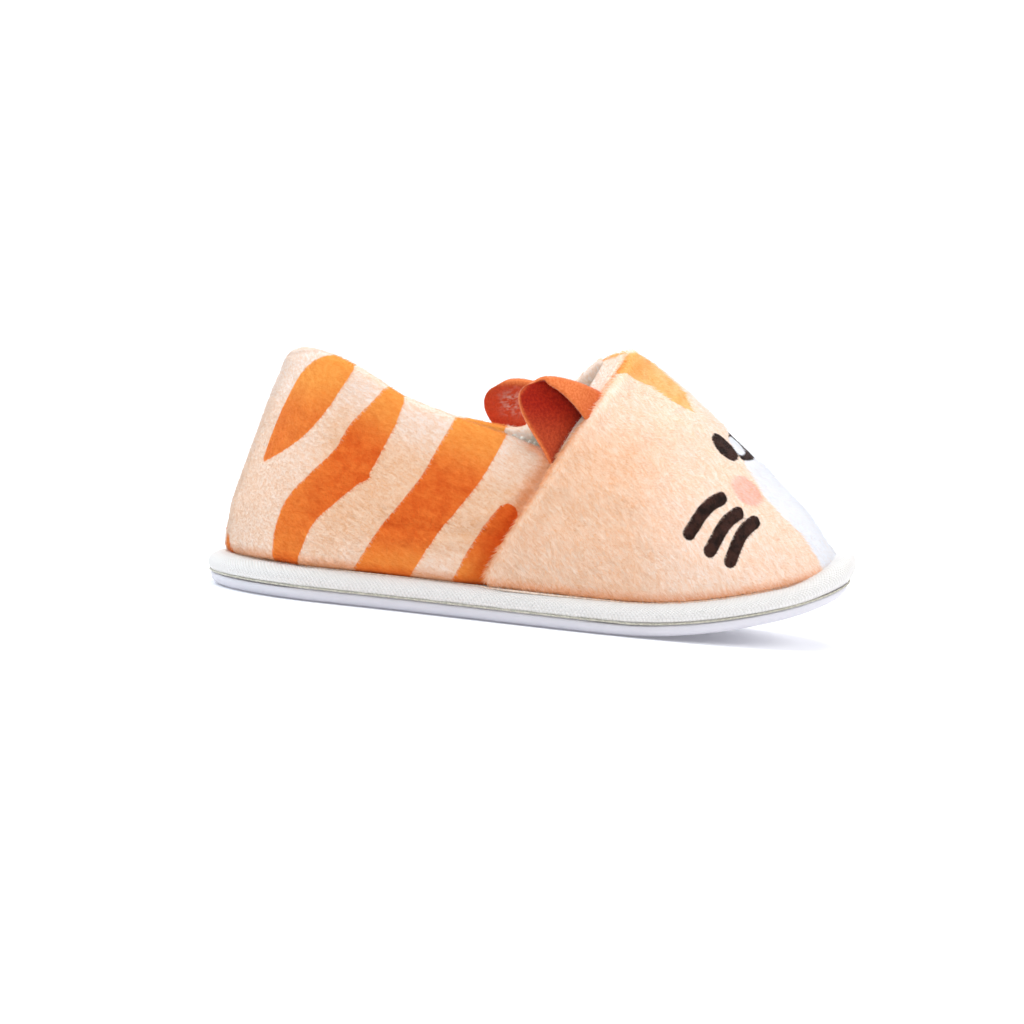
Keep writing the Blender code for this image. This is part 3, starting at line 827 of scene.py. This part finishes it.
def makeRand():
    piece = smoothCopy("midsole", "clothRand", rand["keepEdges"])
    mesh = piece.data
    spots, facing = places(mesh), facings(mesh)
    x, y, z = spots.T
    turn, reach = np.arctan2(y, x), np.hypot(x, y)
    # how far along the tape each point lies, with a whole number of threads, and how far up it
    fine = np.linspace(-math.pi, math.pi, rand["outlinePoints"])
    outline = np.interp(fine, *soleRing("midsole", soleEdge["ringAt"]), period=fullTurn)
    steps = np.hypot(np.diff(outline * np.cos(fine)), np.diff(outline * np.sin(fine)))
    run = np.concatenate(((0,), np.cumsum(steps)))
    whole = round(run[-1] / rand["thread"]) * rand["thread"]
    run *= whole / run[-1]
    along = np.interp(turn, fine, run)
    rise = z - springAt(x) + np.interp(turn, fine, outline) - reach
    tight = smoothStep(*rand["puckerAlong"], np.abs(x)) * smoothStep(*rand["puckerLevel"], z - springAt(x))
    tape = np.stack((along, rise * rand["puckerTall"], np.zeros(len(x))), 1)
    wave = softNoise(tape, rand["puckerSize"], 3)
    puffed, level = swellSole(spots + facing * (wave * tight * rand["pucker"])[:, None], *rand["layer"])
    lift = soleEdge["liftLow"] + (soleEdge["liftHigh"] - soleEdge["liftLow"]) * level ** rand["liftPower"]
    puffed[:, 2] += (lift * smoothStep(*rand["liftAlong"], x) - rand["drop"] * (1 - level)
                     + rand["raise"] * level)
    setPlaces(mesh, puffed)
    corner = np.empty(len(mesh.loops), np.int32)
    mesh.loops.foreach_get("vertex_index", corner)
    across = along[corner]
    for polygon in mesh.polygons:  # keep the weave whole where the tape's ends meet
        span = slice(polygon.loop_start, polygon.loop_start + polygon.loop_total)
        if np.ptp(across[span]) > whole / 2:
            across[span] += np.where(across[span] < whole / 2, whole, 0)
    weave = mesh.uv_layers.new(name="tapeWeave")
    weave.uv.foreach_set("vector", np.stack((across, rise[corner]), 1).astype(np.float32).ravel())
    wear(piece, tapeFinish())
    settle(piece, "midsole", "midsole")


piping = {"thick": 0.55, "beige": srgb(238, 216, 198), "grey": srgb(208, 188, 172), "points": 180,
          "out": 0.15, "sunk": 0.1, "evenOver": 9}
glueLine = {"thick": 0.52, "height": 3.46, "inset": -0.30, "layer": (3.5, 7.9, 0.45), "liftAlong": (58, 81),
            "olive": srgb(204, 200, 185), "grey": srgb(180, 176, 162), "points": 200}
cord = {"grain": ((0.7, 2), (0.38, 0.62)), "bump": ((0.5, 2), (0.6, 0.2))}


def ringTube(name, turns, reach, heights, thick):
    # a round cord that goes once round the sole
    curve = bpy.data.curves.new(name, "CURVE")
    curve.dimensions = "3D"
    curve.bevel_depth = thick / 2 * mm
    curve.bevel_resolution = 2
    line = curve.splines.new("POLY")
    line.use_cyclic_u = True
    line.points.add(len(turns) - 1)
    for point, turn, far, high in zip(line.points, turns, reach, heights):
        point.co = (far * math.cos(turn) * mm, far * math.sin(turn) * mm, high * mm, 1)
    rough = addObject(name, curve)
    mesh = bpy.data.meshes.new_from_object(rough)
    bpy.data.objects.remove(rough)
    mesh.shade_smooth()
    return addObject(name, mesh)


def roughCord(name, light, dark):
    tree, shader, finish = newFinish(name, Roughness=0.9)
    paint(tree, shader, blendColour(tree, grained(tree, cord["grain"]), dark, light))
    roughen(tree, shader, cord["bump"])
    return finish


def makePiping():
    # the tape's folded edge, sewn in along the foot of the upper
    fine = np.linspace(-math.pi, math.pi, piping["points"], endpoint=False)
    upperReach = np.interp(fine, *soleRing("upper", last["baseHeight"]), period=fullTurn)
    faceReach = np.interp(fine, *soleRing("vamp_panel", last["baseHeight"]), left=0, right=0)
    reach = np.maximum(upperReach, faceReach) + piping["out"]
    over = piping["evenOver"]
    reach = np.convolve(np.pad(reach, over // 2, mode="wrap"), np.ones(over) / over, mode="valid")
    heights = last["baseHeight"] - piping["sunk"] + springAt(reach * np.cos(fine))
    piece = ringTube("edgePiping", fine, reach, heights, piping["thick"])
    wear(piece, roughCord("beigeEdgeTape", piping["beige"], piping["grey"]))
    settle(piece, "midsole")


def makeGlueLine():
    # the line of glue that shows between tape and sole
    fine = np.linspace(-math.pi, math.pi, glueLine["points"], endpoint=False)
    reach = np.interp(fine, *soleRing("midsole", soleEdge["ringAt"]), period=fullTurn) + glueLine["inset"]
    x, y = reach * np.cos(fine), reach * np.sin(fine)
    spots, _ = swellSole(np.stack((x, y, springAt(x) + glueLine["layer"][0]), 1), *glueLine["layer"])
    heights = springAt(x) + glueLine["height"] + soleEdge["liftLow"] * smoothStep(*glueLine["liftAlong"], x)
    turns, reach = np.arctan2(spots[:, 1], spots[:, 0]), np.hypot(spots[:, 0], spots[:, 1])
    piece = ringTube("glueLine", turns, reach, heights, glueLine["thick"])
    wear(piece, roughCord("greyGlue", glueLine["olive"], glueLine["grey"]))
    settle(piece, "midsole")


makeOutsole()
makeRand()
makePiping()
makeGlueLine()
print("sole pieces are made")

fleece = {"pale": srgb(251, 246, 237), "deep": srgb(224, 214, 201),
          "grain": ((1.4, 3, 0.6), (0.36, 0.62)), "bump": ((0.45, 3, 0.7), (0.9, 0.35)),
          # the curls: how many, radius in mm, and the least and most that each is drawn out
          "perMm": 0.4, "radius": 0.8, "least": (0.6, 0.6, 0.35), "most": (1.25, 1.0, 0.7), "seed": 31}
insole = {"upward": 0.6, "curlsTo": 20}


def fleeceFinish():
    tree, shader, finish = newFinish("greyFleece", Roughness=0.95, Sheen_Weight=0.3, Sheen_Roughness=0.5,
                                     Specular_IOR_Level=0.15)
    paint(tree, shader, blendColour(tree, grained(tree, fleece["grain"]), fleece["deep"], fleece["pale"]))
    roughen(tree, shader, fleece["bump"])
    return finish


greyFleece = fleeceFinish()


def growCurls(base, name, pick):
    # the fleece's curls: small lumps pressed into the cloth
    curls, tree, roots = startGrowth(base, name, fleece, pick)
    lump = nodeOut(tree, "GeometryNodeMeshIcoSphere", {"Radius": fleece["radius"] * mm, "Subdivisions": 1})
    size = randomVector(tree, fleece["least"], fleece["most"], 0)
    endGrowth(curls, tree, greyFleece, roots.outputs["Points"], lump, roots.outputs["Rotation"], size)
    curls.data.attributes.remove(curls.data.attributes["grown"])
    return curls


def makeInsole():
    piece = smoothCopy("insole", "fleeceInsole")
    wear(piece, greyFleece)
    spots, facing = places(piece.data), facings(piece.data)
    settle(piece, "insole", "insole")
    shown = (facing[:, 2] > insole["upward"]) & (spots[:, 0] < insole["curlsTo"])
    settle(growCurls(piece, "insoleCurls", shown), "insole")


makeInsole()
print("insole is made")

quarter = {"nap": (25.0, 3.0), "comb": (0.8, 0.0, -0.5), "lumps": 0.25, "lumpSize": 17.0,
           # the seam down the back, and the foot drawn in at the feather line
           "seam": (0.45, 0.0, 0.8), "seamTo": -60, "drawIn": 0.2, "drawHeight": (0.0, 3.0),
           # the trough along the face panel's edge: how deep, and how dark its painted shade
           "trough": (0.65, 0.6, 2.0), "troughTop": 42, "shade": (1.0, 0.8, 2.4), "shadeHeight": (43, 39),
           "footShade": (3.5, 0.5),
           # the padded collar and the throat's facings are rolls, fuller on the inside
           "rollOut": 0.35, "rollIn": 1.3, "rollHalf": 5.0, "rollBehind": -3, "underCollar": (-1.0, 3.0),
           "throatRoll": (3.0, 0.0, 6.0), "throatHeight": (38, 46),
           # how much the padded collar stands up, along the side
           "padAlong": (-72, -68, -64, -60, -56, -50, -45, -41, -34),
           "padRise": (-4.2, -2.4, -0.4, 0.7, 1.2, 1.7, 1.3, 0.4, 0.2), "padDepth": (9, 0), "padTo": -30,
           # the lining starts under the collar and past the throat's plush facing
           "collarFacing": 0.5, "facing": 12.0, "facingAhead": -1.5, "facingFrom": 46,
           "liningBias": 0.4, "sideBias": (0.4, -56, -42),
           "pileAhead": 5, "pileFrom": 0.1, "curlsTo": 22, "curlsFrom": 3,
           # soft creases: points along and up, half width, depth. The tuck under the ear is only a shade
           "tuckLine": ((-8.0, 42.6), (-5.0, 40.8), (-2.8, 38.6), 1.0, 0.8),
           "creases": (((-41.0, 21.0), (-28.0, 20.4), (-15.5, 22.0), 1.9, 0.75),
                       ((-35.0, 16.5), (-27.0, 15.6), (-17.0, 17.4), 1.5, 0.45),
                       ((-7.0, 37.5), (-12.0, 33.0), (-17.0, 30.5), 1.9, 0.30),
                       ((-9.0, 31.0), (-13.5, 28.0), (-19.0, 27.0), 1.6, 0.22),
                       ((-72.0, 15.0), (-64.0, 13.0), (-55.0, 14.0), 2.2, 0.25),
                       ((-70.0, 40.0), (-60.0, 37.0), (-52.0, 38.5), 2.6, 0.22))}
# a pile: fibres to the square mm, size in mm, how they stand, lie and stray, and tufts as size and strength
quarterPile = {"perMm": 7.2, "length": 1.2, "thick": 0.16, "stand": 0.36, "lay": 0.95, "stray": 0.26,
               "shortest": 0.6, "tufts": ((1.8, 1.0), (9.0, 0.7)), "relief": 0.65, "seed": 11}


def creaseDepth(flat, crease):
    *path, half, depth = crease
    stroke = smoothPath([(*point, 0.0) for point in path])
    away = -strokeDepth(flat, stroke)
    return depth * np.exp(-(away / half) ** 2)


def isLined(spots, facing):
    # the fleece's part of the upper
    x, y, z = spots.T
    ahead = x - throatAt(z)
    past = ahead > quarter["facingAhead"]
    plushFacing = past & (ahead < quarter["facing"]) & (z > quarter["facingFrom"])
    bias = np.zeros_like(facing)
    bias[:, 2] = quarter["liningBias"] + part(quarter, "sideBias", x)
    under = past | (collarAt(x, y) - z > quarter["collarFacing"])
    return isInside(spots, facing - bias) & under & ~plushFacing


def shapeQuarter(spots, facing):
    x, y, z = spots.T
    inside = isInside(spots, facing)
    flat = unrolled(spots)
    under = collarAt(x, y) - z
    behind = throatAt(z) - x
    push = softNoise(spots, quarter["lumpSize"], 1) * quarter["lumps"]
    for crease in quarter["creases"]:
        push -= creaseDepth(flat, crease)
    push -= bell(quarter, "seam", y - centreAt(x)) * (x < quarter["seamTo"])
    push -= quarter["drawIn"] * (1 - smoothStep(*quarter["drawHeight"], z - springAt(x) - last["baseHeight"]))
    push -= bell(quarter, "trough", behind) * (z < quarter["troughTop"])
    push = np.where(inside, 0, push) * smoothStep(*quarter["underCollar"], under)
    collar = np.where(inside, quarter["rollIn"], quarter["rollOut"]) * (behind > quarter["rollBehind"])
    collar *= np.exp(-(under / quarter["rollHalf"]) ** 2)
    throat = inside * bell(quarter, "throatRoll", behind) * smoothStep(*quarter["throatHeight"], z)
    push += np.maximum(collar, throat)
    shaped = spots + facing * push[:, None]
    rise = np.interp(x, quarter["padAlong"], quarter["padRise"]) * smoothStep(*quarter["padDepth"], under)
    shaped[:, 2] += np.where(x < quarter["padTo"], rise, 0)
    return softenApex(shaped)


def makeQuarter():
    piece = smoothCopy("upper", "stripedUpper")
    mesh = piece.data
    plain = places(mesh)
    x, y, z = plain.T
    level = z - springAt(x)
    spots = shapeQuarter(plain, facings(mesh))
    setPlaces(mesh, spots)
    facing = facings(mesh)
    printQuarter(mesh)
    # painted shade: along the face panel's edge, at the foot and in the tuck under the ear
    shade = bell(quarter, "shade", throatAt(z) - x) * smoothStep(*quarter["shadeHeight"], z)
    shade = np.maximum(smoothStep(*quarter["footShade"], level - last["baseHeight"]), shade)
    shade += creaseDepth(unrolled(plain), quarter["tuckLine"])
    storeValues(mesh, comb=combed(facing, quarter["comb"]), foot=shade, pileLength=np.ones(len(spots)))
    look = (quarterLayers, quarterPrint["wobble"], quarter["nap"])
    wear(piece, plushFinish("stripedPlush", *look, False), greyFleece)
    inFleece = isLined(readVectors(mesh.polygons, "center") / mm, readVectors(mesh.polygons, "normal"))
    mesh.polygons.foreach_set("material_index", inFleece.astype(np.int32))
    settle(piece, "upper", "upper")
    lining = isLined(spots, facing)
    pileFinish = plushFinish("stripedPile", *look, True)
    hidden = (x >= throatAt(z) + quarter["pileAhead"]) | (level < last["baseHeight"] + quarter["pileFrom"])
    for name, side in (("outerQuarterPile", y < 0), ("innerQuarterPile", y >= 0)):
        settle(growPile(piece, name, quarterPile, pileFinish, side & ~(lining | hidden)), "upper")
    curled = lining & (x < quarter["curlsTo"]) & (z > last["baseHeight"] + quarter["curlsFrom"])
    settle(growCurls(piece, "liningCurls", curled), "upper")


makeQuarter()
print("upper, pile and lining are made")

face = {"nap": (48.0, 3.5), "lumps": 0.25, "lumpSize": 15.0, "printAlong": 27, "printHeight": 56,
        # the rear edge is a turned hem, pulled a little to the toe over the ear's root
        "rim": (0.8, 0.0, 3.0), "hemPull": (1.0, 10, 36), "hemReach": (9, 0),
        # the muzzle is fuller: along, up, half width
        "puff": 0.5, "puffAt": (64.0, 34.0, 15.0),
        # the nap lies to the toe and down, and falls back over the hem
        "lieAlong": 0.62, "lieDown": -0.6, "fallBack": (1.15, 0.0, 1.6),
        "footShade": (3.5, 0.5), "rearShade": (-0.2, -0.7),
        # the pile is longer at the hem and short where it is printed black
        "hemPile": (0.12, 0.0, 1.8), "blackPile": (0.62, -2.0, -0.2), "pileFrom": 0.05,
        "creases": (((-4.0, 30.0), (6.0, 27.0), (16.0, 28.0), 3.5, 0.25),)}
facePile = {"perMm": 7.8, "length": 2.0, "thick": 0.19, "stand": 0.38, "lay": 0.90, "stray": 0.24,
            "shortest": 0.55, "tufts": ((1.7, 1.5), (8.0, 1.0)), "relief": 0.7, "seed": 21}


def refinePrint(piece):
    # finer cloth where the face is printed
    shape = bmesh.new()
    shape.from_mesh(piece.data)
    printed = []
    for edge in shape.edges:
        ends = np.array([vert.co / mm for vert in edge.verts])
        ways = np.array([vert.normal for vert in edge.verts])
        near = (ends[:, 0] > face["printAlong"]) | (ends[:, 2] > face["printHeight"])
        if near.all() and not isInside(ends, ways).any():
            printed.append(edge)
    bmesh.ops.subdivide_edges(shape, edges=printed, cuts=1, use_grid_fill=True, smooth=1.0)
    shape.to_mesh(piece.data)
    shape.free()


def makeFace():
    piece = smoothCopy("vamp_panel", "facePanel")
    refinePrint(piece)
    mesh = piece.data
    spots, facing = places(mesh), facings(mesh)
    x, y, z = spots.T
    level = z - springAt(x)
    ahead = x - throatAt(z)
    inside = isInside(spots, facing)
    push = softNoise(spots, face["lumpSize"], 2) * face["lumps"]
    for crease in face["creases"]:
        push -= creaseDepth(np.stack((x, z), 1), crease)
    push += bell(face, "rim", ahead)
    puffX, puffZ, puffHalf = face["puffAt"]
    push += face["puff"] * np.exp(-((x - puffX) ** 2 + (z - puffZ) ** 2) / puffHalf ** 2)
    spots = softenApex(spots + facing * np.where(inside, 0, push)[:, None])
    spots[:, 0] += part(face, "hemPull", z) * smoothStep(*face["hemReach"], ahead)
    setPlaces(mesh, spots)
    facing = facings(mesh)
    black = printFace(mesh)
    lie = np.zeros((len(x), 3))
    lie[:, 0] = face["lieAlong"] - bell(face, "fallBack", ahead)
    lie[:, 2] = face["lieDown"]
    # painted shade: at the foot and on the hem's rear-facing edge
    shade = np.maximum(smoothStep(*face["footShade"], level - last["baseHeight"]),
                       smoothStep(*face["rearShade"], facing[:, 0]))
    long = 1 + bell(face, "hemPile", ahead) - part(face, "blackPile", black)
    storeValues(mesh, comb=combed(facing, lie), foot=shade, pileLength=long)
    look = (faceLayers, facePrint["wobble"], face["nap"])
    wear(piece, plushFinish("facePlush", *look, False))
    settle(piece, "vamp_panel", "vamp_panel")
    pileFinish = plushFinish("facePile", *look, True)
    shown = ~inside & (level > last["baseHeight"] + face["pileFrom"])
    for name, side in (("outerFacePile", y < 0), ("innerFacePile", y >= 0)):
        settle(growPile(piece, name, facePile, pileFinish, side & shown), "vamp_panel")


makeFace()
print("face panel is made")

# the felt: dark red for the painted shade inside the ear, its back, the pale of painted light, a whitish
# painted sheen and the tint of painted shade at the root
felt = {"rust": srgb(173, 36, 9), "rustDeep": srgb(146, 21, 4), "pale": srgb(236, 134, 76),
        "paleDeep": srgb(222, 113, 58), "back": srgb(224, 88, 54), "backDeep": srgb(210, 72, 40),
        "lint": srgb(236, 206, 196), "lintSpread": 7.0, "rootTint": (0.85, 0.68, 0.58, 1.0),
        "patch": ((0.6, 3, 0.65), (0.36, 0.64)), "strands": ((0.9, 3, 0.6, (-20, 2.5)), (0.38, 0.72)),
        "bump": ((0.4, 3, 0.7), (0.7, 0.25)), "comb": (-0.8, 0.0, 0.4),
        # the petal: a grid that is closer at the tip, a folded flap, a cupped middle and a root that sinks in
        "thick": 1.2, "columns": 34, "rows": 18, "crowd": 1.7, "tipPower": 6,
        "flap": 10.8, "flapEnd": 0.97, "flapSoft": 0.2, "flapPower": 0.3, "turn": 165.0, "rootRadius": 0.65,
        "tipRadius": 1.1, "cup": 1.8, "cupTip": 0.5, "rootBulge": 1.3, "rootHalf": 11.5, "rootSink": 4.5,
        "tuck": 1.5, "foldEdge": (-1.2, 0.8), "rimWidth": (0.1, 0.88), "tipRim": 0.8, "mergeWithin": 0.01,
        # how pale the cut edge is, then the rim and what looks up, as painted light, and the foot of the
        # inside
        "edgePale": 0.8, "rimPale": 0.35, "upPale": (0.4, 0.35, 1.0), "lowPale": (0.22, 54, 44),
        # the shade at the root of the flap, and low on the far ear and along its rim
        "flapShade": (0.45, 0.95), "farShade": (50, 43), "farRim": 0.5}
ears = {"outerEar": {"node": "ear_outer", "low": (-1.24, -29.49, 40.89), "high": (10.42, -20.61, 58.48),
                     "lean": (-0.882, -0.02, 0.471), "length": 18.9, "below": 12.2, "above": 12.1,
                     "shift": -2.1, "taper": 0.62, "side": -1, "lintAt": None},
        "innerEar": {"node": "ear_inner", "low": (-2.16, 28.73, 40.89), "high": (9.49, 20.1, 58.49),
                     "lean": (-0.89, 0.30, 0.34), "length": 18.5, "below": 12.4, "above": 9.4,
                     "shift": -1.6, "taper": 0.52, "side": 1, "lintAt": (-6.5, 51.9)}}
feltPile = {"perMm": 7.0, "length": 0.42, "thick": 0.12, "stand": 0.7, "lay": 0.35, "stray": 0.7,
            "shortest": 0.5, "tufts": ((1.5, 0.6),), "relief": 0.5, "seed": 41}


def feltFinish(name, pile):
    tree, shader, finish = newFinish(name, Roughness=0.95, Sheen_Weight=0.3, Sheen_Roughness=0.4,
                                     Specular_IOR_Level=0.15)
    patch = grained(tree, felt["patch"])
    colour = blendColour(tree, patch, felt["rustDeep"], felt["rust"])
    # the back's colour, then the pale of painted light
    for mark, tone in (("reverse", "back"), ("paleSide", "pale")):
        dyed = blendColour(tree, patch, felt[tone + "Deep"], felt[tone])
        colour = blendColour(tree, readValue(tree, mark), colour, dyed)
    colour = tinted(tree, colour, felt["rootTint"], readValue(tree, "rootShade"))
    # painted sheen: a whitish patch drawn out in strands
    strands = solve(tree, "MULTIPLY", grained(tree, felt["strands"]), readValue(tree, "lint"))
    paint(tree, shader, blendColour(tree, strands, colour, felt["lint"]))
    if not pile:
        roughen(tree, shader, felt["bump"])
    return finish


def foldedAt(over, radius, bend):
    # a spot past the fold line: how far on across the ear, and how far out from it
    if over < radius * bend:
        return radius * math.sin(over / radius), radius * (1 - math.cos(over / radius))
    rest = over - radius * bend
    return (radius * math.sin(bend) + rest * math.cos(bend),
            radius * (1 - math.cos(bend)) + rest * math.sin(bend))


def earSheet(ear):
    # one petal of felt from a grid: across it from the lower edge, over the fold, to the flap's free edge
    low, high, lean = (Vector(ear[key]) for key in ("low", "high", "lean"))
    root = (high - low).normalized()
    out = root.cross(lean).normalized()
    out *= 1 if out.y * ear["side"] > 0 else -1
    shape = bmesh.new()
    bmesh.ops.create_grid(shape, x_segments=felt["columns"], y_segments=felt["rows"], size=1.0)
    marks = {name: shape.verts.layers.float.new(name) for name in ("flapShare", "rimShare", "rootShare")}
    for vert in shape.verts:
        t = 1 - (0.5 - vert.co.y / 2) ** felt["crowd"]  # from root to tip
        narrow = (1 - ear["taper"] * t) * math.sqrt(max(0, 1 - t ** felt["tipPower"]))
        below, above = ear["below"] * narrow, ear["above"] * narrow
        flap = felt["flap"] * max(0, 1 - t / felt["flapEnd"]) * narrow ** felt["flapPower"]
        unfolded = float(smoothStep(felt["flapEnd"] - felt["flapSoft"], felt["flapEnd"], t))
        bend = math.radians(felt["turn"]) * (1 - unfolded)
        radius = felt["rootRadius"] + (felt["tipRadius"] - felt["rootRadius"]) * t
        whole = below + above + radius * bend + flap
        at = (vert.co.x / 2 + 0.5) * whole
        over = at - below - above
        across, rise = at - below, 0.0
        if over > 0:
            across, rise = foldedAt(over, radius, bend)
            across += above
        rise += felt["cup"] * (min(across, above) / ear["below"]) ** 2 * (1 - felt["cupTip"] * t)
        rise += felt["rootBulge"] * (1 - (across / felt["rootHalf"]) ** 2) * (1 - t) ** 2
        rise -= felt["rootSink"] * (1 - t) ** 3
        edge = min(at, whole - at, (1 - t) * ear["length"] * felt["tipRim"])
        vert[marks["flapShare"]] = float(smoothStep(*felt["foldEdge"], over))
        vert[marks["rimShare"]] = 1 - float(smoothStep(*felt["rimWidth"], edge))
        vert[marks["rootShare"]] = 1 - t
        vert.co = ((low + high) / 2 + root * (across + ear["shift"])
                   + lean * (ear["length"] * t - felt["tuck"]) + out * rise) * mm
    bmesh.ops.remove_doubles(shape, verts=shape.verts, dist=felt["mergeWithin"] * mm)
    bmesh.ops.recalc_face_normals(shape, faces=shape.faces)
    if sum(face.normal.dot(out) * (1 - face.verts[0][marks["flapShare"]]) for face in shape.faces) < 0:
        bmesh.ops.reverse_faces(shape, faces=shape.faces)
    return shape


def makeEar(pieceName):
    ear = ears[pieceName]
    piece = addPiece(pieceName, earSheet(ear))
    thickness = piece.modifiers.new("thickness", "SOLIDIFY")
    thickness.thickness = felt["thick"] * mm
    thickness.offset = 0
    thickness.material_offset = 1
    thickness.material_offset_rim = 2
    finish = feltFinish(pieceName + "Felt", False)
    wear(piece, finish, finish, finish)
    roundOff(piece, 1)
    mesh = piece.data
    # painted shade makes the felt darker inside the ear; painted light makes it paler on its back and along
    # its cut edge
    sides = np.zeros((len(mesh.vertices), 3))
    for polygon in mesh.polygons:
        sides[list(polygon.vertices), polygon.material_index] += 1
        polygon.material_index = 0
    inner, back, cut = (sides / sides.sum(axis=1)[:, None]).T
    flap, rim, root = (np.array([value.value for value in mesh.attributes[name].data])
                       for name in ("flapShare", "rimShare", "rootShare"))
    spots, facing = places(mesh), facings(mesh)
    x, y, z = spots.T
    # painted light: paler on the flap, the cut edge, the rim and what looks up
    pale = back * flap + cut * felt["edgePale"] + felt["rimPale"] * rim
    pale += part(felt, "upPale", facing[:, 2]) * back + part(felt, "lowPale", z) * inner
    shade = smoothStep(*felt["farShade"], z) + felt["farRim"] * rim
    if ear["side"] < 0:
        shade = flap * smoothStep(*felt["flapShade"], root)
    # painted sheen: a whitish patch on the far ear's back
    lint = np.zeros(len(spots))
    if ear["lintAt"]:
        lintX, lintZ = ear["lintAt"]
        lint = np.exp(-((x - lintX) ** 2 + (z - lintZ) ** 2) / felt["lintSpread"]) * back
    storeValues(mesh, paleSide=np.clip(pale, 0, 1), reverse=back, rootShade=np.clip(shade, 0, 1) * back,
                lint=lint, comb=combed(facing, felt["comb"]), pileLength=np.ones(len(spots)))
    settle(piece, "ears", ear["node"])
    everywhere = np.ones(len(mesh.vertices), bool)
    fuzz = pieceName + "Fuzz"
    settle(growPile(piece, fuzz, feltPile, feltFinish(fuzz, True), everywhere), "ears")


for earName in ears:
    makeEar(earName)
print("ears are made")
